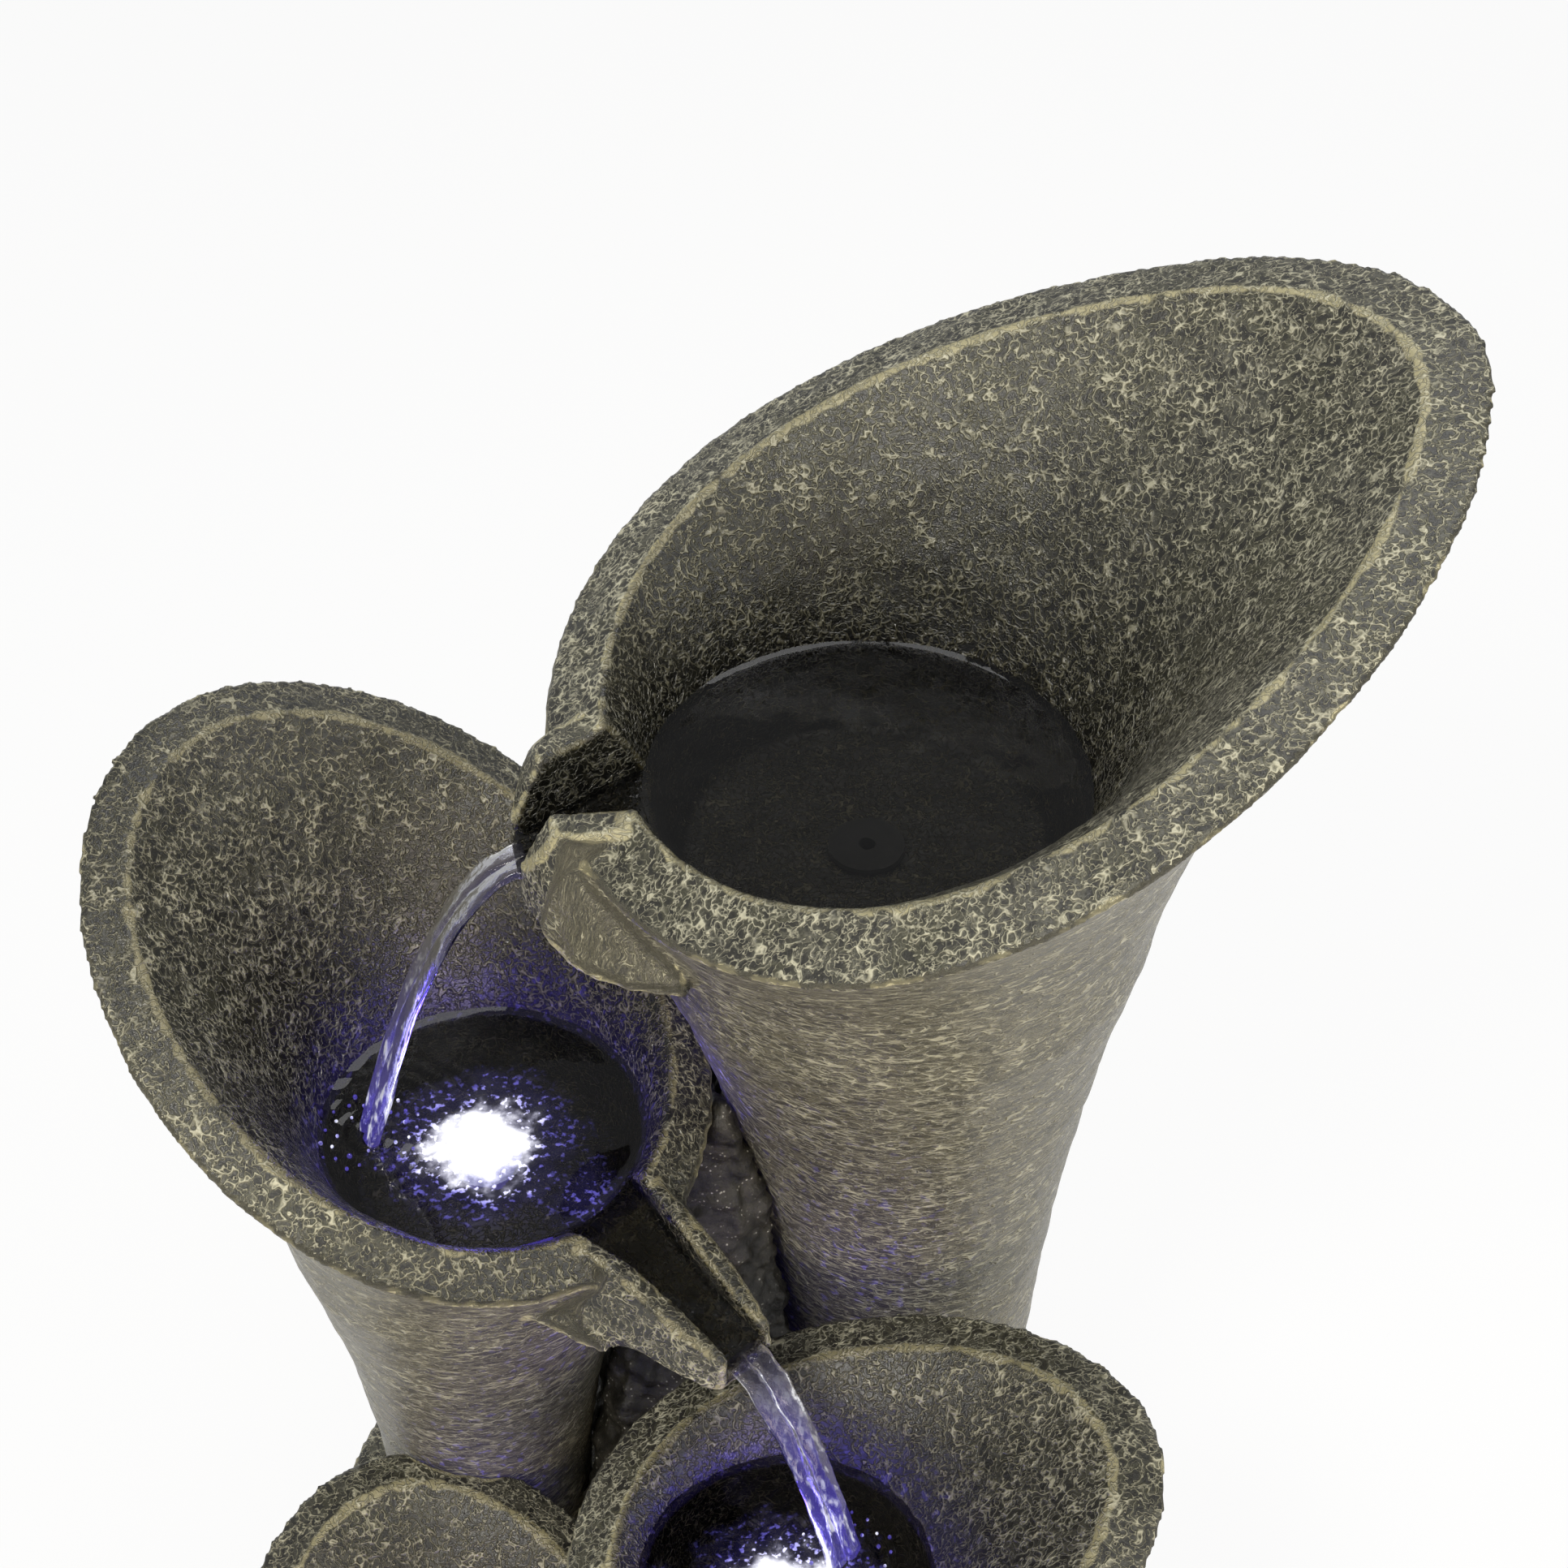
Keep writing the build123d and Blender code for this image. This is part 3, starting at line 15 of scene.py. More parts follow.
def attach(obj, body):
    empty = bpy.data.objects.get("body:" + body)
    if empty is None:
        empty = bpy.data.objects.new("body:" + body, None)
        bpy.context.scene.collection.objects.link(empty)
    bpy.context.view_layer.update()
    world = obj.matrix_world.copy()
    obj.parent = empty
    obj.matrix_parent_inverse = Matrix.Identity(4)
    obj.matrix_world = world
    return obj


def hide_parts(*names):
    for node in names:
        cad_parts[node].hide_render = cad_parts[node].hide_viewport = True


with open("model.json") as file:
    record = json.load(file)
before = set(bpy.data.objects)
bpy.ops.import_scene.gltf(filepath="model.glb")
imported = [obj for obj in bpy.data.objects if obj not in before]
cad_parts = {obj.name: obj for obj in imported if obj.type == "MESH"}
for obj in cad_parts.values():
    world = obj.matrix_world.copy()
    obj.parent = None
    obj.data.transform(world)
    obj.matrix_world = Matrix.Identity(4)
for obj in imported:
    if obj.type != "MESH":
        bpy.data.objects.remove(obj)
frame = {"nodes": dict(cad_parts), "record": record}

LOG = logging.getLogger("fountain")
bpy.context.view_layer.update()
BODY = "fountain"
MM = 0.001
IMAGE_PIXELS = 1932
SENSOR_MM = 36.0
WATER_IOR = 1.333
Range = tuple[float, float]
Place = tuple[float, float, float]
Faces = list[tuple[int, ...]]
Tree = bpy.types.NodeTree
Socket = bpy.types.NodeSocket


def to_linear(colour: str, alpha: float = 1.0) -> tuple[float, float, float, float]:
    """Turns an sRGB hex colour into linear light.

    Args:
        colour: six hex digits after a hash sign.
        alpha: fourth channel of the result.

    Returns:
        Red, green, blue and alpha.
    """
    channels = [int(colour[i:i + 2], 16) / 255 for i in (1, 3, 5)]
    linear = [c / 12.92 if c <= 0.04045 else ((c + 0.055) / 1.055) ** 2.4 for c in channels]
    return linear[0], linear[1], linear[2], alpha


def add_node(tree: Tree, kind: str, settings: dict | None = None,
             links: dict | None = None) -> bpy.types.Node:
    """Adds a node with its settings and its incoming links.

    Args:
        tree: node tree that gets the node.
        kind: type name of the node.
        settings: input sockets by name or number, or attributes of the node, with their values.
        links: input sockets by name or number, with the output sockets that feed them.

    Returns:
        The new node.
    """
    node = tree.nodes.new(kind)
    sockets = {s.name for s in node.inputs}
    late = []
    for name, value in (settings or {}).items():
        if isinstance(name, int) or name in sockets:
            late.append((name, value))
        else:
            setattr(node, name, value)
    for name, value in late:
        node.inputs[name].default_value = value
    for name, source in (links or {}).items():
        tree.links.new(source, node.inputs[name])
    return node


def new_material(name: str, settings: dict) -> tuple[bpy.types.Material, Tree, bpy.types.Node]:
    """Starts a material with one surface shader.

    Args:
        name: name of the material.
        settings: sockets of the shader that are the same all over the surface.

    Returns:
        The material, its node tree and its shader.
    """
    material = bpy.data.materials.new(name)
    material.use_nodes = True
    tree = material.node_tree
    tree.nodes.clear()
    shader = add_node(tree, "ShaderNodeBsdfPrincipled", settings)
    add_node(tree, "ShaderNodeOutputMaterial", links={"Surface": shader.outputs["BSDF"]})
    return material, tree, shader


def per_metre(size_mm: float) -> float:
    """Texture scale that gives one pattern step per size in millimetres."""
    return 1000.0 / size_mm


def ramp(tree: Tree, source: Socket, low: float, high: float) -> Socket:
    """Smooth step of a value.

    Args:
        tree: node tree.
        source: socket with the value.
        low: value that gives 0.
        high: value that gives 1.

    Returns:
        Socket with the step.
    """
    settings = {"interpolation_type": "SMOOTHSTEP", "From Min": low, "From Max": high}
    return add_node(tree, "ShaderNodeMapRange", settings, {"Value": source}).outputs["Result"]


def combine(tree: Tree, operation: str, first: Any, second: Any) -> Socket:
    """Arithmetic on two sockets or numbers, kept between 0 and 1.

    Args:
        tree: node tree.
        operation: name of the operation.
        first: socket or number.
        second: socket or number.

    Returns:
        Socket with the result.
    """
    node = add_node(tree, "ShaderNodeMath", {"operation": operation, "use_clamp": True})
    for index, value in enumerate((first, second)):
        if isinstance(value, Socket):
            tree.links.new(value, node.inputs[index])
        else:
            node.inputs[index].default_value = value
    return node.outputs[0]


def tint(tree: Tree, share: Socket, under: Any, over: Any, blend: str = "MIX") -> Socket:
    """Lays one colour over another.

    Args:
        tree: node tree.
        share: how much of the upper colour shows.
        under: lower colour, as a socket or a hex value.
        over: upper colour, as a socket or a hex value.
        blend: how the two mix.

    Returns:
        Socket with the colour.
    """
    node = add_node(tree, "ShaderNodeMix", {"data_type": "RGBA", "blend_type": blend}, {0: share})
    for index, value in ((6, under), (7, over)):
        if isinstance(value, str):
            node.inputs[index].default_value = to_linear(value)
        else:
            tree.links.new(value, node.inputs[index])
    return node.outputs[2]


def part_of(tree: Tree, source: Any, share: Any) -> Socket:
    """Product of two sockets or numbers."""
    return combine(tree, "MULTIPLY", source, share)


def position(tree: Tree) -> Socket:
    """Socket with the place on the piece, in metres."""
    return add_node(tree, "ShaderNodeTexCoord").outputs["Object"]


def cloud(tree: Tree, place: Socket, size_mm: float, detail: float = 2.0, roughness: float = 0.5) -> Socket:
    """Soft random pattern.

    Args:
        tree: node tree.
        place: socket with the position.
        size_mm: size of one step of the pattern.
        detail: number of finer layers.
        roughness: weight of the finer layers.

    Returns:
        Socket with values round 0.5.
    """
    settings = {"Scale": per_metre(size_mm), "Detail": detail, "Roughness": roughness}
    return add_node(tree, "ShaderNodeTexNoise", settings, {"Vector": place}).outputs["Fac"]


def between(tree: Tree, source: Socket, low: float, high: float) -> Socket:
    """Turns a value from 0 to 1 into one from low to high."""
    settings = {"To Min": low, "To Max": high}
    return add_node(tree, "ShaderNodeMapRange", settings, {"Value": source}).outputs["Result"]


def emboss(tree: Tree, shader: bpy.types.Node, height: Socket, strength: float, depth_mm: float,
           sockets: Sequence[str] = ("Normal",)) -> None:
    """Makes a pattern stand out from the surface.

    Args:
        tree: node tree.
        shader: surface shader.
        height: socket with the pattern.
        strength: share of the full effect.
        depth_mm: height of the pattern.
        sockets: the shader's inputs for the surface's direction.
    """
    settings = {"Strength": strength, "Distance": depth_mm * MM}
    bump = add_node(tree, "ShaderNodeBump", settings, {"Height": height})
    for socket in sockets:
        tree.links.new(bump.outputs["Normal"], shader.inputs[socket])


def boosted(tree: Tree, source: Socket, factor: float) -> Socket:
    """Product that may pass 1, for the strength of a glow."""
    return add_node(tree, "ShaderNodeMath", {"operation": "MULTIPLY", 1: factor}, {0: source}).outputs[0]


class Zone(Enum):
    """Numbers that a worked stone surface carries for its material."""

    EDGE = "edge"
    # wet stone, darkened in the material; on the vase under the top one this also carries painted shade
    WET = "wet"
    OUTER = "outer"
    LIT = "lit"


def zone(tree: Tree, kind: Zone) -> Socket:
    """Socket with one of the surface's own numbers."""
    return add_node(tree, "ShaderNodeAttribute", {"attribute_name": kind.value}).outputs["Fac"]


@dataclass(frozen=True)
class CastStone:
    """Cast stone from a hammered mould, dry-brushed pale.

    The eye sees broken worm-like pale ridges over grey and olive ground with dark hollows, bare pale edges,
    flat wrinkles on the stems in a lighter khaki that also paints the front light on them, a dark wet gloss
    near the water whose darkening is also painted shade on the vase under the top one, and violet dapples
    that the lamps throw through the ripples. A range is the pattern's value where a layer starts and where
    it is full.
    """

    name: str = "cast_stone_hammered"
    pit: str = "#23221D"
    ground: str = "#55544A"
    olive: str = "#4A4938"
    brushed: str = "#C2BEA4"
    dust: str = "#C4C2BA"
    # lighter khaki of the stems: their own tone, and also painted light standing for the front light on them
    stem_tone_and_light: str = "#79745F"
    bare: str = "#B8B089"
    # darkening of wet stone, also used as painted shade on the vase under the top one
    soaked_and_shaded: str = "#58554C"
    violet: str = "#6E62DC"
    dapple_mm: float = 4.5
    dapple_glow: float = 0.9
    worm_mm: float = 6.0
    fine_mm: float = 3.0
    warp_mm: float = 9.0
    warp_by_mm: float = 5.0
    break_mm: float = 13.0
    patch_mm: float = 55.0
    grain_mm: float = 0.9
    relief_mm: float = 2.0
    relief_strength: float = 0.9
    grain_share: float = 0.2
    wrinkle: Range = (0.45, 1.4)
    ridge_range: Range = (0.445, 0.494)
    fine_range: Range = (0.44, 0.496)
    break_range: Range = (0.38, 0.58)
    patch_range: Range = (0.38, 0.62)
    hollow_range: Range = (0.43, 0.33)
    dust_range: Range = (0.62, 0.4)
    rub_range: Range = (0.2, 0.6)
    dapple_range: Range = (0.58, 0.70)
    dapple_haze: float = 0.14
    fine_share: float = 0.7
    stem_tone_and_light_share: float = 0.6
    hollow_share: float = 0.85
    ridge_share: float = 0.95
    stem_calm: float = 0.35
    rub_base: float = 0.35
    rub_share: float = 0.85
    chalk_wet: float = 0.9
    coat: Range = (0.4, 0.2)
    roughness: Range = (0.52, 0.16)

    def worms(self, tree: Tree, place: Socket, size_mm: float) -> Socket:
        """Winding ridges.

        Args:
            tree: node tree.
            place: socket with the position.
            size_mm: distance between ridges.

        Returns:
            Socket that is 0.5 along the ridges and less beside them.
        """
        return combine(tree, "PINGPONG", cloud(tree, place, size_mm, detail=1.2), 0.5)

    def calmer(self, tree: Tree, share: float, outer: Socket) -> Socket:
        """Share of a layer, less on the stems."""
        return combine(tree, "SUBTRACT", share, part_of(tree, outer, self.stem_calm))

    def spread(self, tree: Tree, moved: Socket, outer: Socket) -> Socket:
        """Position that draws the pattern out level on the stems."""
        level, upright = (between(tree, outer, 1.0, scale) for scale in self.wrinkle)
        stretch = add_node(tree, "ShaderNodeCombineXYZ", links={"X": level, "Y": level, "Z": upright})
        return add_node(tree, "ShaderNodeVectorMath", {"operation": "MULTIPLY"},
                        {0: moved, 1: stretch.outputs[0]}).outputs[0]

    def material(self) -> bpy.types.Material:
        """Builds the node material."""
        settings = {"IOR": 1.5, "Coat Weight": self.coat[0], "Coat Roughness": self.coat[1],
                    "Emission Color": to_linear(self.violet)}
        material, tree, shader = new_material(self.name, settings)
        place = position(tree)
        outer, edge, wet = zone(tree, Zone.OUTER), zone(tree, Zone.EDGE), zone(tree, Zone.WET)
        swirl = add_node(tree, "ShaderNodeTexNoise", {"Scale": per_metre(self.warp_mm), "Detail": 2.0},
                         {"Vector": place})
        by = self.warp_by_mm * MM
        moved = add_node(tree, "ShaderNodeVectorMath", {"operation": "MULTIPLY_ADD", 1: (by, by, by)},
                         {0: swirl.outputs["Color"], 2: place}).outputs[0]
        spread = self.spread(tree, moved, outer)
        large, small = self.worms(tree, spread, self.worm_mm), self.worms(tree, spread, self.fine_mm)
        patches = cloud(tree, place, self.patch_mm, detail=5.0, roughness=0.6)
        gaps = cloud(tree, spread, self.break_mm, detail=3.0)
        grain = cloud(tree, place, self.grain_mm)
        broken = part_of(tree, ramp(tree, large, *self.ridge_range), ramp(tree, gaps, *self.break_range))
        fine = part_of(tree, ramp(tree, small, *self.fine_range), self.fine_share)
        net = combine(tree, "MAXIMUM", broken, fine)
        colour = tint(tree, ramp(tree, patches, *self.patch_range), self.ground, self.olive)
        # stems tinted lighter khaki: their own tone, and also painted light where the front light falls on
        # them
        colour = tint(tree, part_of(tree, outer, self.stem_tone_and_light_share), colour, self.stem_tone_and_light)
        hollow = part_of(tree, ramp(tree, large, *self.hollow_range),
                         self.calmer(tree, self.hollow_share, outer))
        colour = tint(tree, hollow, colour, self.pit)
        colour = tint(tree, ramp(tree, grain, *self.dust_range), colour, self.dust, "MULTIPLY")
        rubbed = ramp(tree, part_of(tree, edge, combine(tree, "ADD", gaps, self.rub_base)), *self.rub_range)
        colour = tint(tree, part_of(tree, rubbed, self.rub_share), colour, self.bare)
        # wet zone darkened: wetness, and on the vase under the top one also painted shade from that vase
        colour = tint(tree, wet, colour, self.soaked_and_shaded, "MULTIPLY")
        chalk = tint(tree, part_of(tree, wet, self.chalk_wet), self.brushed, self.soaked_and_shaded, "MULTIPLY")
        colour = tint(tree, part_of(tree, net, self.calmer(tree, self.ridge_share, outer)), colour, chalk)
        tree.links.new(colour, shader.inputs["Base Color"])
        tree.links.new(between(tree, wet, *self.roughness), shader.inputs["Roughness"])
        dapple = ramp(tree, cloud(tree, moved, self.dapple_mm), *self.dapple_range)
        thrown = part_of(tree, zone(tree, Zone.LIT), combine(tree, "ADD", dapple, self.dapple_haze))
        tree.links.new(boosted(tree, thrown, self.dapple_glow), shader.inputs["Emission Strength"])
        height = combine(tree, "ADD", part_of(tree, net, 1.0 - self.grain_share),
                         part_of(tree, grain, self.grain_share))
        emboss(tree, shader, height, self.relief_strength, self.relief_mm, ("Normal", "Coat Normal"))
        return material


@dataclass(frozen=True)
class SplitRock:
    """Split basalt, wet and rough, with white specks that are painted glints of its wet surface."""

    name: str = "split_basalt"
    dark: str = "#171613"
    light: str = "#423F37"
    painted_glint: str = "#C9C6BB"
    grain_mm: float = 14.0
    glint_mm: float = 2.4
    relief_mm: float = 2.5
    light_range: Range = (0.35, 0.7)
    glint_range: Range = (0.28, 0.12)
    vein_range: Range = (0.5, 0.6)

    def material(self) -> bpy.types.Material:
        """Builds the node material."""
        material, tree, shader = new_material(self.name, {"IOR": 1.5, "Roughness": 0.32})
        place = position(tree)
        grain = cloud(tree, place, self.grain_mm, detail=8.0, roughness=0.7)
        glint_cells = add_node(tree, "ShaderNodeTexVoronoi", {"Scale": per_metre(self.glint_mm)},
                          {"Vector": place})
        body = tint(tree, ramp(tree, grain, *self.light_range), self.dark, self.light)
        # painted highlights: white specks where the cells and the grain meet, standing for glints on the wet
        # rock
        painted_highlight = part_of(tree, ramp(tree, glint_cells.outputs["Distance"], *self.glint_range),
                         ramp(tree, grain, *self.vein_range))
        tree.links.new(tint(tree, painted_highlight, body, self.painted_glint), shader.inputs["Base Color"])
        emboss(tree, shader, grain, 0.8, self.relief_mm)
        return material


@dataclass(frozen=True)
class Mottled:
    """Plain solid finish whose colour and gloss vary a little, as handling and age leave them."""

    name: str
    colour: str
    shade: str
    roughness: float
    metallic: float = 0.0
    ior: float = 1.5
    transmission: float = 0.0
    grain_mm: float = 1.6
    patch_mm: float = 18.0
    relief_mm: float = 0.05
    stretch: Place = (1.0, 1.0, 1.0)
    shade_range: Range = (0.3, 0.7)
    gloss_shares: Range = (0.8, 1.25)

    def material(self) -> bpy.types.Material:
        """Builds the node material."""
        settings = {"Metallic": self.metallic, "IOR": self.ior, "Transmission Weight": self.transmission}
        material, tree, shader = new_material(self.name, settings)
        place = add_node(tree, "ShaderNodeMapping", {"Scale": self.stretch}, {"Vector": position(tree)})
        grain = cloud(tree, place.outputs["Vector"], self.grain_mm, detail=3.0)
        patches = cloud(tree, place.outputs["Vector"], self.patch_mm, detail=4.0)
        colour = tint(tree, ramp(tree, patches, *self.shade_range), self.colour, self.shade)
        tree.links.new(colour, shader.inputs["Base Color"])
        low, high = (min(1.0, self.roughness * share) for share in self.gloss_shares)
        tree.links.new(between(tree, grain, low, high), shader.inputs["Roughness"])
        emboss(tree, shader, grain, 0.5, self.relief_mm)
        return material


@dataclass(frozen=True)
class Water:
    """Clear water, still or rippled; over a lamp it carries the lamp's glow and its violet sparkle.

    The glow has a white heart, a white core broken into flakes, a violet halo of flakes, and a trail of them
    towards the spout.
    """

    name: str
    ripple_mm: float = 18.0
    ripple_height_mm: float = 0.5
    lamp: Place | None = None
    trail: Place = (0.0, 0.0, 0.0)
    trail_mm: float = 26.0
    core_mm: float = 38.0
    halo_mm: float = 52.0
    sparkle_mm: float = 3.0
    wobble_mm: float = 11.0
    wobble_by_mm: float = 34.0
    glow: float = 1.5
    heart_shares: Range = (0.75, 0.4)
    core_share: float = 0.5
    halo_share: float = 0.7
    trail_share: float = 0.8
    flake_range: Range = (0.55, 0.68)
    flake_share: float = 0.5
    haze: float = 0.03
    clear: str = "#85827A"
    white: str = "#F3F3FF"
    violet: str = "#7C74EE"

    def material(self) -> bpy.types.Material:
        """Builds the node material."""
        settings = {"Base Color": to_linear(self.clear), "IOR": WATER_IOR, "Roughness": 0.03,
                    "Transmission Weight": 1.0}
        material, tree, shader = new_material(self.name, settings)
        place = position(tree)
        emboss(tree, shader, cloud(tree, place, self.ripple_mm), 0.6, self.ripple_height_mm)
        if self.lamp is not None:
            self.light(tree, shader, place)
        return material

    def away(self, tree: Tree, place: Socket, spot: Place, wobble: Socket) -> Socket:
        """Distance from a spot, made uneven by the ripples."""
        plain = add_node(tree, "ShaderNodeVectorMath", {"operation": "DISTANCE", 1: spot}, {0: place})
        return add_node(tree, "ShaderNodeMath", {"operation": "MULTIPLY_ADD", 1: self.wobble_by_mm * MM},
                        {0: wobble, 2: plain.outputs["Value"]}).outputs[0]

    def disc(self, tree: Tree, away: Socket, rim_mm: float, full_mm: float) -> Socket:
        """Light that starts at one distance and is full at a nearer one."""
        extra = self.wobble_by_mm / 2
        return ramp(tree, away, (rim_mm + extra) * MM, (full_mm + extra) * MM)

    def light(self, tree: Tree, shader: bpy.types.Node, place: Socket) -> None:
        """Adds the lamp's glow.

        Args:
            tree: node tree of the water.
            shader: its surface shader.
            place: socket with the position.
        """
        wobble = cloud(tree, place, self.wobble_mm, detail=4.0)
        reach, trail = (self.away(tree, place, spot, wobble) for spot in (self.lamp, self.trail))
        rim, full = (self.core_mm * share for share in self.heart_shares)
        heart = self.disc(tree, reach, rim, full)
        core = self.disc(tree, reach, self.core_mm, self.core_mm * self.core_share)
        halo = self.disc(tree, reach, self.halo_mm, self.core_mm * self.halo_share)
        path = self.disc(tree, trail, self.trail_mm, 0.0)
        flakes = ramp(tree, cloud(tree, place, self.sparkle_mm), *self.flake_range)
        centre = combine(tree, "MAXIMUM", heart, part_of(tree, core, flakes))
        halo = combine(tree, "MAXIMUM", halo, part_of(tree, path, self.trail_share))
        ring = part_of(tree, halo, combine(tree, "ADD", part_of(tree, flakes, self.flake_share), self.haze))
        tree.links.new(tint(tree, core, self.violet, self.white), shader.inputs["Emission Color"])
        power = boosted(tree, combine(tree, "ADD", centre, ring), self.glow)
        tree.links.new(power, shader.inputs["Emission Strength"])


@dataclass(frozen=True)
class FallingWater:
    """Running water: clear, with painted white highlights streaked along its fall and the lamps' violet in
    it.
    """

    name: str
    top: float
    bottom: float
    lit: float = 0.75
    dim: float = 0.02
    clear_share: float = 0.3
    streak_mm: float = 3.4
    streak_stretch: Place = (1.0, 1.0, 0.14)
    highlight_range: Range = (0.52, 0.68)
    highlight_share: float = 0.65
    relief_mm: float = 1.2
    clear: str = "#E6E6FA"
    white: str = "#F2F3FF"
    violet: str = "#6456DC"

    def material(self) -> bpy.types.Material:
        """Builds the node material."""
        settings = {"Base Color": to_linear(self.clear), "IOR": WATER_IOR, "Roughness": 0.04,
                    "Transmission Weight": 1.0}
        material, tree, shader = new_material(self.name, settings)
        place = position(tree)
        along = add_node(tree, "ShaderNodeMapping", {"Scale": self.streak_stretch}, {"Vector": place})
        streak = cloud(tree, along.outputs["Vector"], self.streak_mm, detail=4.0)
        # painted highlights: where the streak pattern is high the glow turns from violet to white
        painted_highlight = ramp(tree, streak, *self.highlight_range)
        tree.links.new(tint(tree, painted_highlight, self.violet, self.white), shader.inputs["Emission Color"])
        height = add_node(tree, "ShaderNodeSeparateXYZ", links={0: place}).outputs["Z"]
        glow = add_node(tree, "ShaderNodeMapRange",
                        {"From Min": self.top + (self.bottom - self.top) * self.clear_share,
                         "From Max": self.bottom, "To Min": self.dim, "To Max": self.lit},
                        {"Value": height}).outputs["Result"]
        share = combine(tree, "ADD", part_of(tree, painted_highlight, self.highlight_share), 1.0 - self.highlight_share)
        tree.links.new(part_of(tree, glow, share), shader.inputs["Emission Strength"])
        emboss(tree, shader, streak, 0.7, self.relief_mm)
        return material


@dataclass(frozen=True)
class LampBoard:
    """White circuit board whose light chips glow."""

    name: str = "lamp_board_white"
    colour: str = "#E9ECEF"
    trace: str = "#C6CCD2"
    light: str = "#EDF0FF"
    trace_mm: float = 4.0
    trace_range: Range = (0.45, 0.6)
    glow: float = 0.3
    least_glow: float = 0.7

    def material(self) -> bpy.types.Material:
        """Builds the node material."""
        settings = {"IOR": 1.5, "Roughness": 0.4, "Emission Color": to_linear(self.light)}
        material, tree, shader = new_material(self.name, settings)
        traces = cloud(tree, position(tree), self.trace_mm)
        colour = tint(tree, ramp(tree, traces, *self.trace_range), self.colour, self.trace)
        tree.links.new(colour, shader.inputs["Base Color"])
        power = between(tree, traces, self.glow * self.least_glow, self.glow)
        tree.links.new(power, shader.inputs["Emission Strength"])
        return material


def mesh_object(name: str, points: Sequence, faces: Sequence, smooth: bool = True) -> bpy.types.Object:
    """Makes a mesh object at the origin.

    Args:
        name: name of the piece.
        points: vertices in metres.
        faces: vertex numbers of each face.
        smooth: whether the faces are shaded smooth.

    Returns:
        The object, linked to the scene.
    """
    mesh = bpy.data.meshes.new(name)
    mesh.from_pydata([tuple(p) for p in points], [], faces)
    mesh.validate()
    mesh.polygons.foreach_set("use_smooth", [smooth] * len(mesh.polygons))
    piece = bpy.data.objects.new(name, mesh)
    bpy.context.scene.collection.objects.link(piece)
    return piece


def dress(piece: bpy.types.Object, material: bpy.types.Material) -> None:
    """Gives a piece one material.

    Args:
        piece: mesh object.
        material: what covers it.
    """
    piece.data.materials.clear()
    piece.data.materials.append(material)


def grid_faces(rows: int, columns: int, closed: bool = False) -> list[tuple[int, int, int, int]]:
    """Faces of a grid of points stored row by row.

    Args:
        rows: number of rows.
        columns: points in each row.
        closed: whether each row runs round.

    Returns:
        Vertex numbers of each quad.
    """
    faces = []
    for i in range(rows - 1):
        for j in range(columns if closed else columns - 1):
            k = (j + 1) % columns
            faces.append((i * columns + j, (i + 1) * columns + j, (i + 1) * columns + k, i * columns + k))
    return faces


def vertices(mesh: bpy.types.Mesh) -> np.ndarray:
    """Places of a mesh's vertices, one in each row."""
    points = np.empty(len(mesh.vertices) * 3)
    mesh.vertices.foreach_get("co", points)
    return points.reshape(-1, 3)


def heading(azimuth: float) -> Vector:
    """Horizontal unit vector at an azimuth in degrees from +X."""
    return Vector((cos(radians(azimuth)), sin(radians(azimuth)), 0.0))


def fan_faces(rings: int, spokes: int) -> Faces:
    """Faces of a round sheet: a middle point, then rings of points from the inside out."""
    faces: Faces = [(0, 1 + j, 1 + (j + 1) % spokes) for j in range(spokes)]
    return faces + [tuple(n + 1 for n in f) for f in grid_faces(rings, spokes, closed=True)]


def tube_faces(rows: int, sides: int, first: int) -> Faces:
    """Faces of a closed tube of point rows, with both ends filled.

    Args:
        rows: number of rows.
        sides: points in each row.
        first: number of its first point.

    Returns:
        Vertex numbers of each face.
    """
    last = first + (rows - 1) * sides
    faces: Faces = [tuple(first + k for k in f) for f in grid_faces(rows, sides, closed=True)]
    return faces + [tuple(range(first, first + sides)), tuple(reversed(range(last, last + sides)))]


def crease_points(mesh: bpy.types.Mesh, least: float, step: float) -> np.ndarray:
    """Finds the sharp outward edges of a solid.

    Args:
        mesh: mesh of the solid.
        least: smallest bend that counts, in degrees.
        step: distance between the points in metres.

    Returns:
        Points along the edges.
    """
    mesh.calc_loop_triangles()
    corners = np.empty(len(mesh.loop_triangles) * 3, dtype=np.int64)
    mesh.loop_triangles.foreach_get("vertices", corners)
    points, index = np.unique(vertices(mesh).round(6), axis=0, return_inverse=True)
    corners = index.reshape(-1)[corners].reshape(-1, 3)
    a, b, c = (points[corners[:, i]] for i in range(3))
    normals = np.cross(b - a, c - a)
    normals /= np.linalg.norm(normals, axis=1)[:, None] + 1e-12
    centres = (a + b + c) / 3
    sides = np.sort(np.concatenate([corners[:, [0, 1]], corners[:, [1, 2]], corners[:, [2, 0]]]), axis=1)
    owners = np.tile(np.arange(len(corners)), 3)
    order = np.lexsort((sides[:, 1], sides[:, 0]))
    sides, owners = sides[order], owners[order]
    twin = np.flatnonzero((sides[1:] == sides[:-1]).all(axis=1))
    first, second = owners[twin], owners[twin + 1]
    bend = (normals[first] * normals[second]).sum(1) < cos(radians(least))
    outward = ((centres[second] - centres[first]) * normals[first]).sum(1) < 0
    found = []
    for start, end in points[sides[twin[bend & outward]]]:
        count = int(np.linalg.norm(end - start) / step) + 2
        found.append(start + (end - start) * np.linspace(0, 1, count)[:, None])
    return np.concatenate(found)


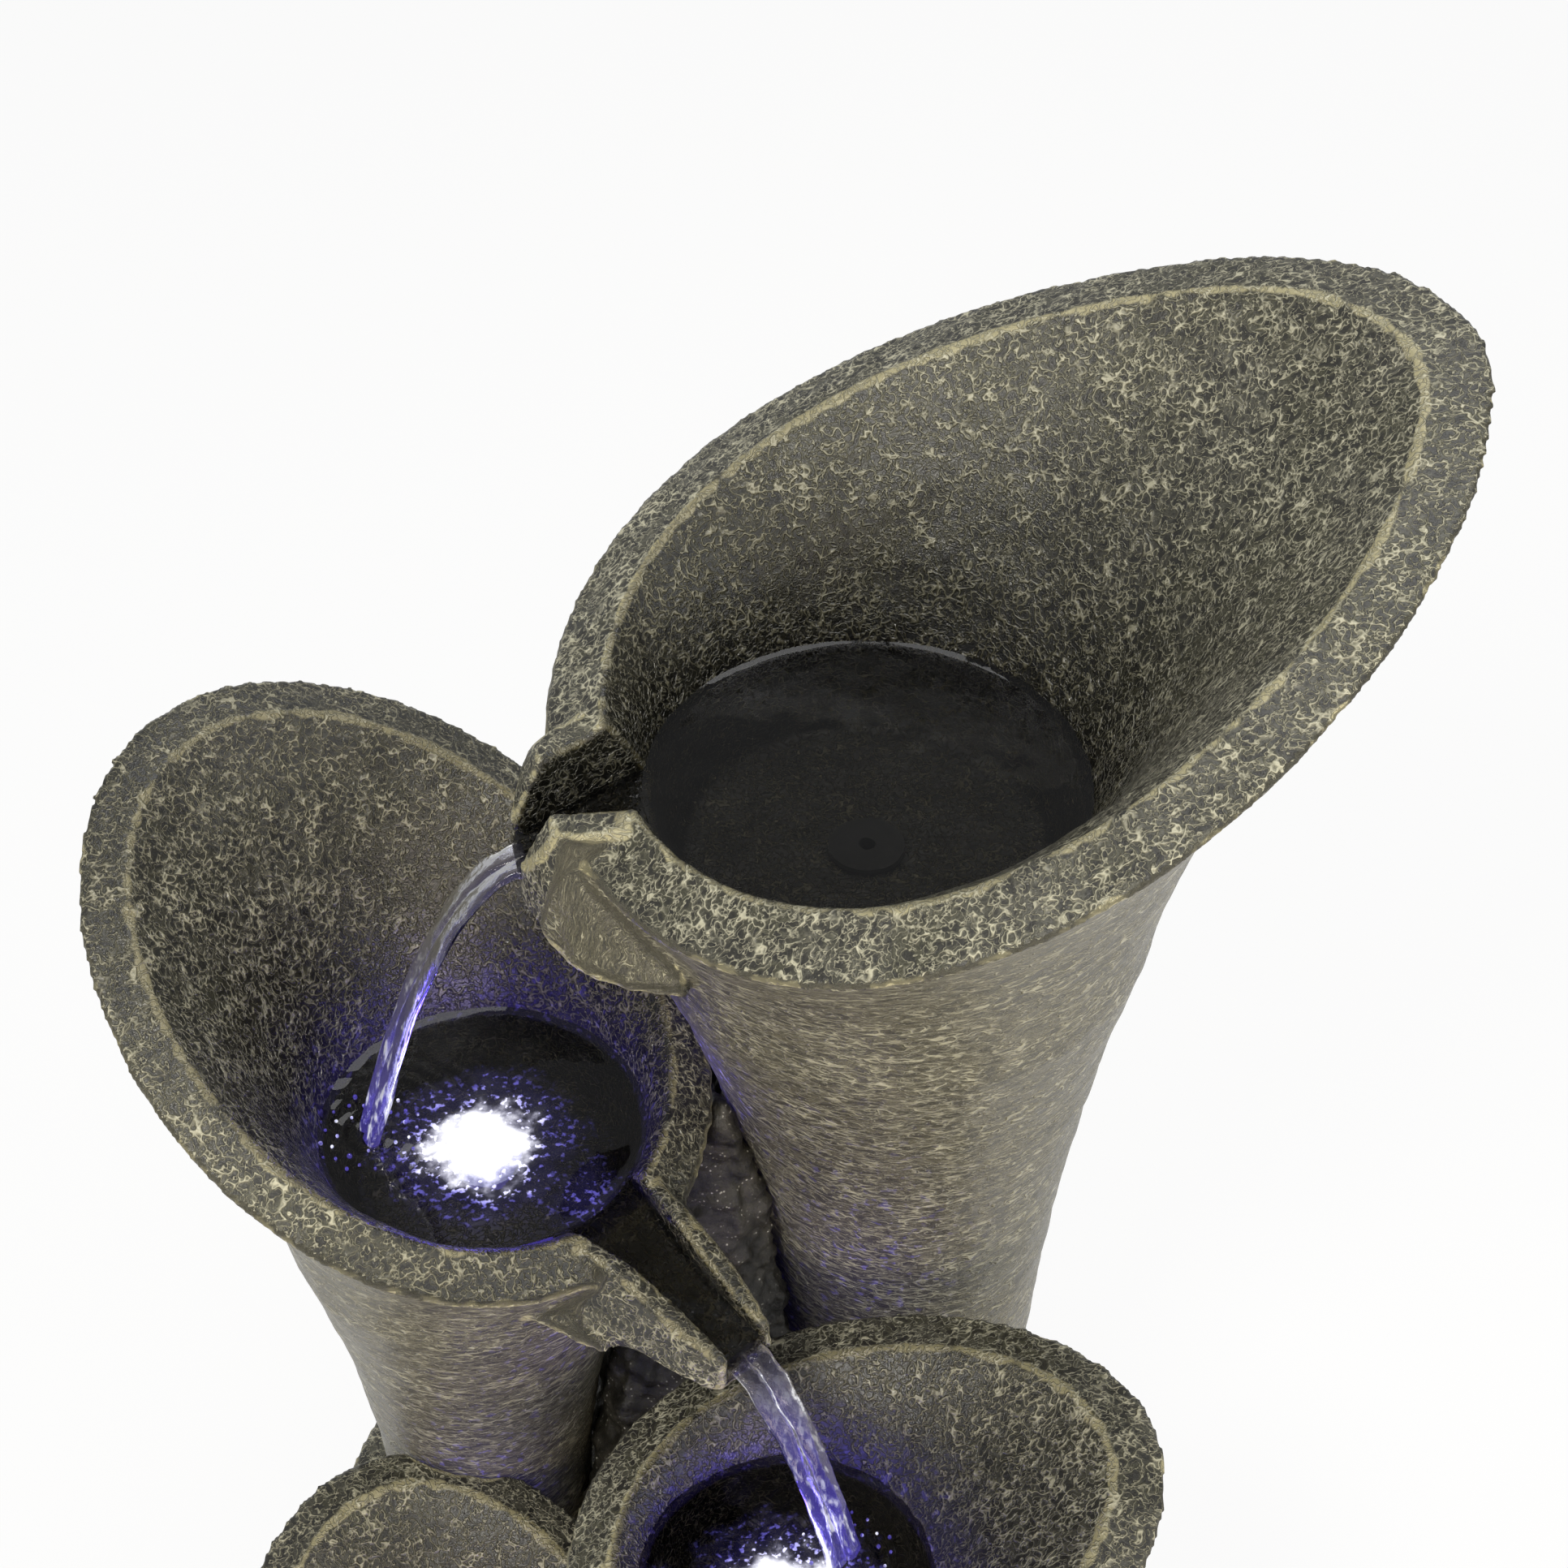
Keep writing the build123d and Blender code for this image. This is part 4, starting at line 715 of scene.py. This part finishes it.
@dataclass
class CarvedStone:
    """Stone piece: the solid of a node, melted a little at its corners and given a hand-worked surface."""

    node: str
    zones: Callable[[np.ndarray, np.ndarray], dict[Zone, np.ndarray]]
    shape: Callable[[np.ndarray], np.ndarray] | None = None
    first_voxel_mm: float = 1.2
    voxel_mm: float = 2.0
    melt: tuple[int, int] = (14, 4)
    swell_mm: float = 0.9
    swell_step_mm: float = 24.0
    pock_mm: float = 0.3
    pock_step_mm: float = 6.5
    crease: float = 20.0
    edge_mm: Range = (3.8, 0.3)
    ragged_mm: float = 2.2
    bead_mm: float = 1.0
    bead_half_mm: float = 3.0
    piece: bpy.types.Object = field(init=False)

    def build(self) -> bpy.types.Object:
        """Makes the worked mesh.

        Returns:
            The piece that stands for the node.
        """
        source = frame["nodes"][self.node]
        rough = bpy.data.objects.new(self.node + "_rough", source.data.copy())
        bpy.context.scene.collection.objects.link(rough)
        for size, turns in zip((self.first_voxel_mm, self.voxel_mm), self.melt):
            remesh = rough.modifiers.new("remesh", "REMESH")
            remesh.mode = "VOXEL"
            remesh.voxel_size = size * MM
            melt = rough.modifiers.new("melt", "SMOOTH")
            melt.factor = 0.5
            melt.iterations = turns
        shaped = rough.evaluated_get(bpy.context.evaluated_depsgraph_get())
        mesh = bpy.data.meshes.new_from_object(shaped)
        bpy.data.objects.remove(rough)
        mesh.name = self.node + "_carved"
        self.piece = bpy.data.objects.new(self.node + "_carved", mesh)
        bpy.context.scene.collection.objects.link(self.piece)
        creases = crease_points(source.data, self.crease, MM)
        if self.shape is not None:
            mesh.vertices.foreach_set("co", self.shape(vertices(mesh)).ravel())
            mesh.update()
            creases = self.shape(creases)
        self.work(mesh, creases)
        return self.piece

    def work(self, mesh: bpy.types.Mesh, creases: np.ndarray) -> None:
        """Presses the surface in and out, beads its edges and stores its zones.

        Args:
            mesh: mesh to change.
            creases: points along the solid's sharp edges.
        """
        points = vertices(mesh)
        normals = np.empty(points.size)
        mesh.vertex_normals.foreach_get("vector", normals)
        normals = normals.reshape(-1, 3)
        tree = kdtree.KDTree(len(creases))
        for i, p in enumerate(creases):
            tree.insert(p, i)
        tree.balance()
        away = np.array([tree.find(p)[2] for p in points]) / MM
        slow, quick = (np.array([noise.noise(Vector(p / (step * MM))) for p in points])
                       for step in (self.swell_step_mm, self.pock_step_mm))
        away += (slow + quick) * self.ragged_mm
        far, near = self.edge_mm
        ramp_up = np.clip((far - away) / (far - near), 0.0, 1.0)
        values = {Zone.EDGE: ramp_up * ramp_up * (3 - 2 * ramp_up), **self.zones(points, normals)}
        for kind, numbers in values.items():
            layer = mesh.attributes.new(kind.value, "FLOAT", "POINT")
            layer.data.foreach_set("value", numbers.astype(np.float32))
        bead = self.bead_mm * np.exp(-(away / self.bead_half_mm) ** 2) * (0.6 + quick)
        lift = bead + slow * self.swell_mm + quick * self.pock_mm
        mesh.vertices.foreach_set("co", (points + normals * lift[:, None] * MM).ravel())
        mesh.polygons.foreach_set("use_smooth", [True] * len(mesh.polygons))
        mesh.update()

    def finish(self, material: bpy.types.Material, slot: str) -> None:
        """Dresses the piece and puts it in place of its node.

        Args:
            material: stone that covers it.
            slot: material slot of the record; not used.
        """
        dress(self.piece, material)
        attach(self.piece, BODY)
        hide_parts(self.node)
        LOG.info("%s: %d faces", self.piece.name, len(self.piece.data.polygons))


def dry(points: np.ndarray, normals: np.ndarray) -> dict[Zone, np.ndarray]:
    """Zones of a stone with no water on it."""
    return {kind: np.zeros(len(points)) for kind in (Zone.WET, Zone.OUTER, Zone.LIT)}


@dataclass(frozen=True)
class LampLight:
    """Light that the lamps under water throw on the vases. Sizes in millimetres.

    A lamp lights its own bowl up to the splash height, and the outside of other vases within its reach.
    """

    reach: float = 125.0
    fade: int = 4
    splash: float = 30.0
    under: float = 4.0
    own_share: float = 0.3
    level_share: float = 0.4
    rise: float = 2.0

    def falls_on(self, node: str, points: np.ndarray, normals: np.ndarray, outer: np.ndarray) -> np.ndarray:
        """Finds how much light each vertex of a vase gets.

        Args:
            node: CAD node of the vase.
            points: vertices in metres.
            normals: vertex normals.
            outer: how much each vertex lies on the vase's outside.

        Returns:
            Numbers from 0 to 1.
        """
        total = np.zeros(len(points))
        for lily in (lily for lily in LILIES if lily.lit):
            ray = points - np.array(lily.spot(0, 0, 0))
            far = np.linalg.norm(ray, axis=1)
            facing = np.clip(-(ray * normals).sum(1) / far, 0.0, 1.0)
            if lily.node == node:
                height = ray[:, 2] / MM
                near = np.clip(1.0 - height / self.splash, 0.0, 1.0) * (height > -self.under)
                total += self.own_share * facing * near * (1.0 - outer)
            else:
                rising = np.clip(ray[:, 2] / far * self.rise + self.level_share, 0.0, 1.0)
                total += outer * facing ** 3 * rising * (self.reach * MM / far) ** self.fade
        return np.clip(total, 0.0, 1.0)


@dataclass
class Lily:
    """One lily vase with its water. Sizes in millimetres, azimuths in degrees.

    Attributes:
        key: first word of the names of its pieces.
        centre: middle of its water, seen from above.
        water: height of its water.
        neck: radius of its water.
        ridge: distance from the middle to the bend of the spout's floor.
        spout: azimuth of the spout.
        reach: distance from the middle to the spout's lip.
        fall: drop of the spout's floor from the bend to the lip.
        landing: where its stream meets the water below.
        flare: distance and height against the water of the outer wall under the spout, from below.
        splash: where the stream from above lands in it.
        lit: whether it has a lamp.
        damp_and_shade: how wet its bowl is above the water; the same number paints shade there too, most on
            the left vase under the top one.
    """

    key: str
    centre: Range
    water: float
    neck: float
    ridge: float
    spout: float
    reach: float
    fall: float
    landing: Place
    flare: tuple[Range, ...]
    splash: Range | None = None
    lit: bool = True
    damp_and_shade: float = 0.5
    mouth_share: float = 0.34
    channel_depth: float = 9.0
    tip_half: float = 11.0
    bend_share: float = 0.75
    film: float = 4.5
    stream_half: float = 9.0
    drops: int = 34
    glow_near: float = 10.0
    trail_share: float = 0.85
    lamp_watts: float = 0.08
    lamp_colour: str = "#6A55FF"
    lamp_height: float = 16.0
    flank: float = 22.0
    flank_blend: float = 8.0
    keel: float = 7.0
    keel_blend: float = 14.0
    channel_start: float = 0.8
    damp_share: float = 0.6
    damp_reach: float = 1.2
    bowl_reach: float = 2.6
    wet_height: float = 6.0
    wall_height: float = 11.0
    lip_height: float = 40.0

    @property
    def node(self) -> str:
        """Name of the CAD node."""
        return f"{self.key}_vase"

    def spot(self, along: float, across: float, up: float) -> Vector:
        """Point in metres from the middle of the water, along the spout, across it and up."""
        out = heading(self.spout)
        side = Vector((-out.y, out.x, 0.0))
        base = Vector((self.centre[0], self.centre[1], self.water))
        return (base + out * along + side * across + Vector((0.0, 0.0, up))) * MM

    def half_width(self, along: float) -> float:
        """Half the channel's width at a distance from the middle of the bowl."""
        mouth = self.mouth_share * self.neck
        start, bend, end = self.channel_start * self.neck, self.ridge, self.reach
        middle = mouth * self.bend_share
        if along < bend:
            return mouth + (middle - mouth) * max(0.0, (along - start) / (bend - start))
        return middle + (self.tip_half - middle) * min(1.0, (along - bend) / (end - bend))

    def channel_floor(self, along: float) -> float:
        """Height of the channel's floor against the water of the bowl."""
        share = min(1.0, max(0.0, (along - self.ridge) / (self.reach - self.ridge)))
        return -self.channel_depth - self.fall * share

    def axes(self) -> tuple[np.ndarray, np.ndarray]:
        """Level directions along the spout and across it."""
        out = np.array(heading(self.spout))
        return out, np.array((-out[1], out[0], 0.0))

    def local(self, points: np.ndarray) -> tuple[np.ndarray, np.ndarray, np.ndarray]:
        """Distances along the spout, across it and up from the water, in millimetres."""
        out, side = self.axes()
        offset = points / MM - np.array((self.centre[0], self.centre[1], self.water))
        return offset @ out, offset @ side, offset[:, 2]

    def half_widths(self, along: np.ndarray) -> np.ndarray:
        """Half the channel's width at each distance."""
        return np.array([self.half_width(a) for a in along])

    def floors(self, along: np.ndarray) -> np.ndarray:
        """Height of the channel's floor at each distance."""
        return np.array([self.channel_floor(a) for a in along])

    def spare(self, points: np.ndarray) -> np.ndarray:
        """How far the spout's vertices stand out from the flare, in millimetres."""
        along, across, up = self.local(points)
        distance, height = zip(*self.flare)
        beside = self.half_widths(along) + self.flank - np.abs(across)
        near = np.clip(beside / self.flank_blend, 0.0, 1.0) * (along > 0.0)
        return np.maximum(np.hypot(along, across) - np.interp(up, height, distance), 0.0) * near

    def shape(self, points: np.ndarray) -> np.ndarray:
        """Draws the spout's underside in to the flare, so that it leaves the rim as a shallow lip.

        Args:
            points: vertices in metres.

        Returns:
            The moved vertices.
        """
        along, across, up = self.local(points)
        depth = self.floors(along) - up
        drawn = self.spare(points) * np.clip((depth - self.keel) / self.keel_blend, 0.0, 1.0)
        radial = np.maximum(np.hypot(along, across), 1.0)
        centre = np.array((self.centre[0], self.centre[1], 0.0)) * MM
        shift = (points - centre) * (drawn / radial)[:, None]
        shift[:, 2] = 0.0
        return points - shift

    def zones(self, points: np.ndarray, normals: np.ndarray) -> dict[Zone, np.ndarray]:
        """Finds the wet parts, whose darkening is partly painted shade, the outer and the lit parts of the
        vase.

        Args:
            points: vertices in metres.
            normals: vertex normals.

        Returns:
            Numbers from 0 to 1 for each zone.
        """
        along, across, up = self.local(points)
        radial = np.hypot(along, across)
        out, side = self.axes()
        facing = ((normals @ out) * along + (normals @ side) * across) / np.maximum(radial, 1e-6)
        reach = self.damp_reach * self.neck
        # painted darkening above the water: wetness, and on a vase set damper than its wetness also painted
        # shade
        damp_and_shade = self.damp_and_shade * self.damp_share
        within = (up > -reach) & (radial < self.bowl_reach * self.neck)
        inside = np.clip((0.25 - facing) / 0.3, 0.0, 1.0) * within
        above = np.clip(1.0 - up / reach, 0.0, 1.0)
        bowl = inside * np.where(up < self.wet_height, 1.0, damp_and_shade + (1 - damp_and_shade) * above)
        rise = up - self.floors(along)
        trough = (along > 0.7 * self.neck) & (along < self.reach + 4) & (rise > -4.0)
        trough &= np.abs(across) < self.half_widths(along) + 2.5
        trough = trough * np.clip(1.6 - rise / self.wall_height, 0.0, 1.0)
        lip = damp_and_shade * np.clip(1.3 - up / self.lip_height, 0.0, 1.0) * np.clip(normals[:, 2] * 2, 0.0, 1.0)
        wet = np.clip(np.maximum(np.maximum(bowl, trough), lip), 0.0, 1.0)
        outer = np.clip(facing / 0.3, 0.0, 1.0) * np.clip((0.55 - normals[:, 2]) / 0.3, 0.0, 1.0)
        outer *= 1.0 - np.clip(self.spare(points) / 4.0, 0.0, 1.0)
        lit = LampLight().falls_on(self.node, points, normals, outer)
        return {Zone.WET: wet, Zone.OUTER: outer, Zone.LIT: lit}

    def swell(self, point: Vector, edge: float) -> float:
        """Height of the pool's surface at a point, in millimetres.

        Args:
            point: place on the still surface, in metres.
            edge: distance from the bowl's wall in millimetres.

        Returns:
            Meniscus at the wall, rings round the stream that lands, and a slow swell.
        """
        height = 1.4 * exp(-max(edge, 0.0) / 1.6) + 0.25 * noise.noise(point / (14 * MM))
        if self.splash is not None:
            away = sqrt((point.x / MM - self.splash[0]) ** 2 + (point.y / MM - self.splash[1]) ** 2)
            height += 1.1 * cos(2 * pi * away / 9.0) * exp(-away / 24.0)
        return height

    def pool(self) -> bpy.types.Object:
        """Makes the water in the bowl.

        Returns:
            The water surface.
        """
        rings, spokes = 40, 120
        radius = self.neck + 1.0
        points = [self.spot(0, 0, 0)]
        for i in range(1, rings + 1):
            r = radius * i / rings
            for j in range(spokes):
                t = 2 * pi * j / spokes
                at = self.spot(r * cos(t), r * sin(t), 0)
                points.append(at + Vector((0, 0, self.swell(at, self.neck - r) * MM)))
        return mesh_object(f"{self.key}_water", points, fan_faces(rings, spokes))

    def tongue(self) -> bpy.types.Object:
        """Makes the water that runs down the channel to the lip.

        Returns:
            The running sheet, from the pool's edge on.
        """
        rows, columns = 40, 17
        radius = self.neck + 0.6
        points = []
        for i in range(rows):
            share = i / (rows - 1)
            for j in range(columns):
                part = 2 * j / (columns - 1) - 1
                start = sqrt(radius ** 2 - (part * self.half_width(radius)) ** 2)
                along = start + (self.reach + 1.0 - start) * share
                across = part * (self.half_width(along) + 0.6)
                thinning = (self.film - self.channel_depth) * share
                level = self.channel_floor(along) + self.channel_depth + thinning
                ruffle = noise.noise(Vector((along / 18.0, across / 4.0, self.water)))
                wave = ruffle * 1.3 * min(1.0, 3 * share)
                points.append(self.spot(along, across, level + wave + 0.9 * part ** 4))
        return mesh_object(f"{self.key}_spout_water", points, grid_faces(rows, columns))

    def stream(self) -> bpy.types.Object:
        """Makes the falling stream from the lip to the water below.

        Returns:
            The stream, as two closed ribbons that twist beside each other.
        """
        rows, sides = 56, 16
        lip = self.spot(self.reach - 4.0, 0, self.channel_floor(self.reach) + self.film * 0.5)
        end = Vector(self.landing) * MM
        forward = Vector((end.x - lip.x, end.y - lip.y, 0.0)).normalized()
        across = Vector((-forward.y, forward.x, 0.0))
        run = sqrt((end.x - lip.x) ** 2 + (end.y - lip.y) ** 2)
        points: list[Vector] = []
        faces: Faces = []
        for strand in (-1, 1):
            first = len(points)
            for i in range(rows):
                share = i / (rows - 1)
                middle = lip.lerp(end, share)
                middle.z = lip.z + (end.z - lip.z) * share * share
                slope = atan2(2 * share * (lip.z - end.z), run)
                up = forward * sin(slope) + Vector((0.0, 0.0, cos(slope)))
                wide = self.stream_half + (self.tip_half * 0.9 - self.stream_half) * (1 - share) ** 3
                sway = 1.2 * noise.noise(Vector((strand * 5.0, self.water, share * 5)))
                middle += across * ((strand * wide * 0.5 + sway) * MM)
                thick = 1.6 + 2.2 * share
                for j in range(sides):
                    t = 2 * pi * j / sides
                    ruffle = Vector((cos(t) * 1.4 + strand, sin(t) * 1.4 + self.water, share * 9))
                    wave = 1 + 0.35 * noise.noise(ruffle)
                    skin = across * (wide * 0.55 * cos(t)) + up * (thick * sin(t))
                    points.append(middle + skin * (wave * MM))
            faces += tube_faces(rows, sides, first)
        return mesh_object(f"{self.key}_stream", points, faces)

    def beads(self) -> bpy.types.Object:
        """Makes the drops that spring up where the stream lands.

        Returns:
            The drops, in one mesh.
        """
        points: list[Vector] = []
        faces: Faces = []
        rows, sides = 5, 8
        for n in range(self.drops):
            turn = n * pi * (3 - sqrt(5))
            away = 9.0 + 16.0 * sqrt((n + 0.5) / self.drops)
            jump = 1.0 + 6.0 * abs(noise.noise(Vector((n * 0.73, self.water, 0.0)))) * (1 - n / self.drops)
            size = 0.7 + 0.9 * abs(noise.noise(Vector((self.water, n * 0.91, 3.0))))
            middle = Vector(self.landing) + Vector((away * cos(turn), away * sin(turn), jump))
            first = len(points)
            for i in range(rows):
                lift = pi * (i + 0.5) / rows
                for j in range(sides):
                    t = 2 * pi * j / sides
                    skin = Vector((cos(t) * sin(lift), sin(t) * sin(lift), -1.25 * cos(lift)))
                    points.append((middle + skin * size) * MM)
            faces += [tuple(reversed(f)) for f in tube_faces(rows, sides, first)]
        return mesh_object(f"{self.key}_drops", points, faces)

    def build(self, stone: bpy.types.Material) -> None:
        """Builds and dresses the vase and its water.

        Args:
            stone: cast stone material.
        """
        carved = CarvedStone(self.node, self.zones, self.shape)
        carved.build()
        carved.finish(stone, "cast_stone")
        lamp = None
        if self.lit:
            lamp = tuple(self.spot(0, 0, 0) - Vector((0.0, self.glow_near, 0.0)) * MM)
            self.glow_lamp()
        trail = tuple(self.spot(self.neck * self.trail_share, 0, 0))
        still = Water(f"{self.key}_still_water", lamp=lamp, trail=trail).material()
        running = Water(f"{self.key}_running_water", ripple_mm=5.0, ripple_height_mm=1.2).material()
        falling = FallingWater(f"{self.key}_falling_water", top=self.water * MM,
                               bottom=self.landing[2] * MM).material()
        for piece, material in ((self.pool(), still), (self.tongue(), running), (self.stream(), falling),
                                (self.beads(), falling)):
            dress(piece, material)
            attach(piece, BODY)
            LOG.info("%s", piece.name)

    def glow_lamp(self) -> None:
        """Adds the violet light that the lamp throws on the stone round it."""
        light = bpy.data.lights.new(f"{self.key}_lamp_light", "POINT")
        light.energy = self.lamp_watts
        light.color = to_linear(self.lamp_colour)[:3]
        light.shadow_soft_size = 0.02
        holder = bpy.data.objects.new(f"{self.key}_lamp_light", light)
        holder.location = self.spot(0, 0, self.lamp_height)
        bpy.context.scene.collection.objects.link(holder)


@dataclass
class BasinPool:
    """Water in the basin, a flat sheet from wall to wall. Sizes in millimetres."""

    half_x: float = 191.0
    half_y: float = 257.0
    power: float = 2.8
    level: float = 88.0
    wave: float = 0.8
    wave_step: float = 30.0

    def build(self) -> None:
        """Builds and dresses the sheet."""
        rings, spokes = 20, 96
        points = [Vector((0, 0, self.level)) * MM]
        for i in range(1, rings + 1):
            for j in range(spokes):
                t = 2 * pi * j / spokes
                c, s = cos(t), sin(t)
                x = self.half_x * abs(c) ** (2 / self.power) * (1 if c > 0 else -1) * i / rings
                y = self.half_y * abs(s) ** (2 / self.power) * (1 if s > 0 else -1) * i / rings
                wave = noise.noise(Vector((x / self.wave_step, y / self.wave_step, 0))) * self.wave
                points.append(Vector((x, y, self.level + wave)) * MM)
        sheet = mesh_object("basin_water", points, fan_faces(rings, spokes))
        dress(sheet, Water("basin_water_rippled", ripple_mm=24.0, ripple_height_mm=2.0).material())
        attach(sheet, BODY)


@dataclass
class Hardware:
    """Pump, lamps, wiring and fixings: the CAD solids with their own finishes."""

    finishes: dict[str, Mottled | LampBoard] = field(default_factory=lambda: {
        "black_rubber": Mottled("black_rubber_moulded", "#1B1B1B", "#262625", 0.75, relief_mm=0.1),
        "lead_jacket": Mottled("lead_jacket_pvc", "#1E1E1F", "#28282A", 0.5),
        "steel": Mottled("stainless_steel_brushed", "#B9BABB", "#9FA1A3", 0.32, metallic=1.0,
                         stretch=(1.0, 1.0, 0.08)),
        "brass": Mottled("brass_dulled", "#A88444", "#7A5F34", 0.38, metallic=1.0),
        "white_ceramic": Mottled("ceramic_ground", "#E8E6DF", "#DAD6CB", 0.35),
        "magnet": Mottled("ferrite_moulded", "#303134", "#26272A", 0.55),
        "clear_hose": Mottled("vinyl_clear", "#DDE4E1", "#CBD4D0", 0.15, transmission=0.8),
        "lens": Mottled("lens_polycarbonate", "#EEF2F6", "#E4EAF0", 0.06, transmission=0.95),
        "light_board": LampBoard(),
        "lamp_black": Mottled("lamp_housing_abs", "#202123", "#2B2C2E", 0.5),
        "black_plastic": Mottled("pump_plastic_abs", "#232426", "#2D2E31", 0.55, relief_mm=0.08),
    })

    def build(self, carved: Sequence[str], stone: bpy.types.Material) -> None:
        """Dresses every node that keeps its solid.

        Args:
            carved: nodes that a worked stone piece stands for.
            stone: cast stone material, for stone nodes that stay.
        """
        made = {slot: finish.material() for slot, finish in self.finishes.items()}
        made["cast_stone"] = stone
        for entry in frame["record"]["subparts"]:
            if entry["node"] not in carved:
                piece = frame["nodes"][entry["node"]]
                dress(piece, made[entry["material_slot"]])
                LOG.info("%s: %s", piece.name, entry["material_slot"])


@dataclass
class Studio:
    """Pale floor, soft lights and the photograph's camera. Lengths in metres, angles in degrees."""

    eye: Place = (0.03805, -0.79062, 1.44594)
    pitch: float = 42.0
    focal_pixels: float = 3600.0
    floor_half: float = 8.0
    floor_white: float = 0.9
    soft_light: float = 0.42

    def build(self) -> None:
        """Builds floor, world, lights and camera."""
        self.floor()
        self.world()
        self.light("key", (-0.7, -1.2, 2.4), (0.0, 0.1, 0.4), 0.6, 31.0, "#FFFBF2")
        self.light("fill", (1.5, -0.7, 1.5), (0.05, 0.1, 0.4), 1.2, 9.0, "#FFFFFF")
        self.light("top", (0.3, 0.8, 2.6), (0.1, 0.15, 0.5), 1.2, 16.0, "#FFFFFF")
        self.light("low", (0.5, -1.9, 0.6), (0.05, 0.0, 0.4), 1.0, 20.0, "#FFEFD6")
        self.camera()

    def backdrop(self, tree: Tree) -> Socket:
        """Share of rays that see the plain background."""
        path = add_node(tree, "ShaderNodeLightPath")
        seen = combine(tree, "MAXIMUM", path.outputs["Is Camera Ray"], path.outputs["Is Glossy Ray"])
        return combine(tree, "MAXIMUM", seen, path.outputs["Is Transmission Ray"])

    def floor(self) -> None:
        """Adds the floor, white to the eye and still holding a faint shadow."""
        h = self.floor_half
        plane = mesh_object("floor", [(-h, -h, 0), (h, -h, 0), (h, h, 0), (-h, h, 0)], [(0, 1, 2, 3)])
        material = bpy.data.materials.new("studio_floor")
        material.use_nodes = True
        tree = material.node_tree
        tree.nodes.clear()
        matt = add_node(tree, "ShaderNodeBsdfDiffuse", {"Color": to_linear("#F2F2F0")})
        glow = add_node(tree, "ShaderNodeEmission", {"Color": to_linear("#FFFFFF"), "Strength": 1.0})
        share = part_of(tree, self.backdrop(tree), self.floor_white)
        mixed = add_node(tree, "ShaderNodeMixShader",
                         links={0: share, 1: matt.outputs[0], 2: glow.outputs[0]})
        add_node(tree, "ShaderNodeOutputMaterial", links={"Surface": mixed.outputs[0]})
        dress(plane, material)

    def world(self) -> None:
        """Sets soft light from all round and a white background."""
        world = bpy.data.worlds.new("studio")
        world.use_nodes = True
        tree = world.node_tree
        tree.nodes.clear()
        soft = add_node(tree, "ShaderNodeBackground",
                        {"Color": to_linear("#F4F5F7"), "Strength": self.soft_light})
        white = add_node(tree, "ShaderNodeBackground", {"Color": to_linear("#FFFFFF"), "Strength": 1.0})
        path = add_node(tree, "ShaderNodeLightPath")
        mixed = add_node(tree, "ShaderNodeMixShader",
                         links={0: path.outputs["Is Camera Ray"], 1: soft.outputs[0], 2: white.outputs[0]})
        add_node(tree, "ShaderNodeOutputWorld", links={"Surface": mixed.outputs[0]})
        bpy.context.scene.world = world

    def light(self, name: str, place: Sequence[float], aim: Sequence[float], size: float, power: float,
              colour: str) -> None:
        """Adds a soft square light.

        Args:
            name: name of the light.
            place: where it hangs.
            aim: point that it faces.
            size: edge length.
            power: watts.
            colour: hex value of the light.
        """
        lamp = bpy.data.lights.new(name, "AREA")
        lamp.color = to_linear(colour)[:3]
        lamp.size = size
        lamp.energy = power
        holder = bpy.data.objects.new(name, lamp)
        holder.location = place
        holder.rotation_euler = (Vector(aim) - Vector(place)).to_track_quat("-Z", "Y").to_euler()
        bpy.context.scene.collection.objects.link(holder)

    def camera(self) -> None:
        """Adds the camera at the photograph's place."""
        lens = bpy.data.cameras.new("camera")
        lens.sensor_width = SENSOR_MM
        lens.sensor_fit = "HORIZONTAL"
        lens.lens = self.focal_pixels / IMAGE_PIXELS * SENSOR_MM
        holder = bpy.data.objects.new("camera", lens)
        holder.location = self.eye
        holder.rotation_euler = (radians(90.0 - self.pitch), 0.0, 0.0)
        bpy.context.scene.collection.objects.link(holder)
        bpy.context.scene.camera = holder


LILIES = (
    Lily("top", (75, 160), 590, 98, 111.4, 192, 156, 8, (-153, 103, 424),
         ((102.0, -78.4), (114.2, -30.1), (137.8, 13.6)), lit=False, damp_and_shade=0.25),
    # the left vase is set fully damp: its bowl's darkening stands for wetness and is also painted shade from
    # the top vase
    Lily("left", (-101, 106), 425, 75, 83.9, 320, 160, 30, (65, -42, 299),
         ((78.0, -60.0), (85.8, -33.5), (100.9, -9.6)), splash=(-153, 103), damp_and_shade=1.0),
    Lily("right", (40, -55), 300, 67, 78.9, 195, 124, 14, (-130, -97, 154),
         ((69.7, -53.6), (80.6, -27.4), (101.7, -3.7)), splash=(65, -42), damp_and_shade=0.15),
    Lily("low", (-111, -70), 155, 54, 69.4, 293, 112, 14, (-55, -204, 87),
         ((56.2, -43.2), (67.0, -24.7), (88.2, -8.0)), splash=(-130, -97)),
)


def main() -> None:
    """Builds the fountain's looks in order."""
    logging.basicConfig(level=logging.INFO, format="%(message)s")
    bpy.context.scene.view_settings.view_transform = "Standard"
    stone = CastStone().material()
    for lily in LILIES:
        lily.build(stone)
    basin = CarvedStone("basin", dry, voxel_mm=3.2)
    basin.build()
    basin.finish(stone, "cast_stone")
    rock = CarvedStone("stone_core", dry, voxel_mm=2.4, swell_mm=5.0, swell_step_mm=22.0, pock_mm=2.8)
    rock.build()
    rock.finish(SplitRock().material(), "rock")
    BasinPool().build()
    carved = [lily.node for lily in LILIES] + ["basin", "stone_core"]
    Hardware().build(carved, stone)
    Studio().build()


if __name__ == "__main__":
    main()
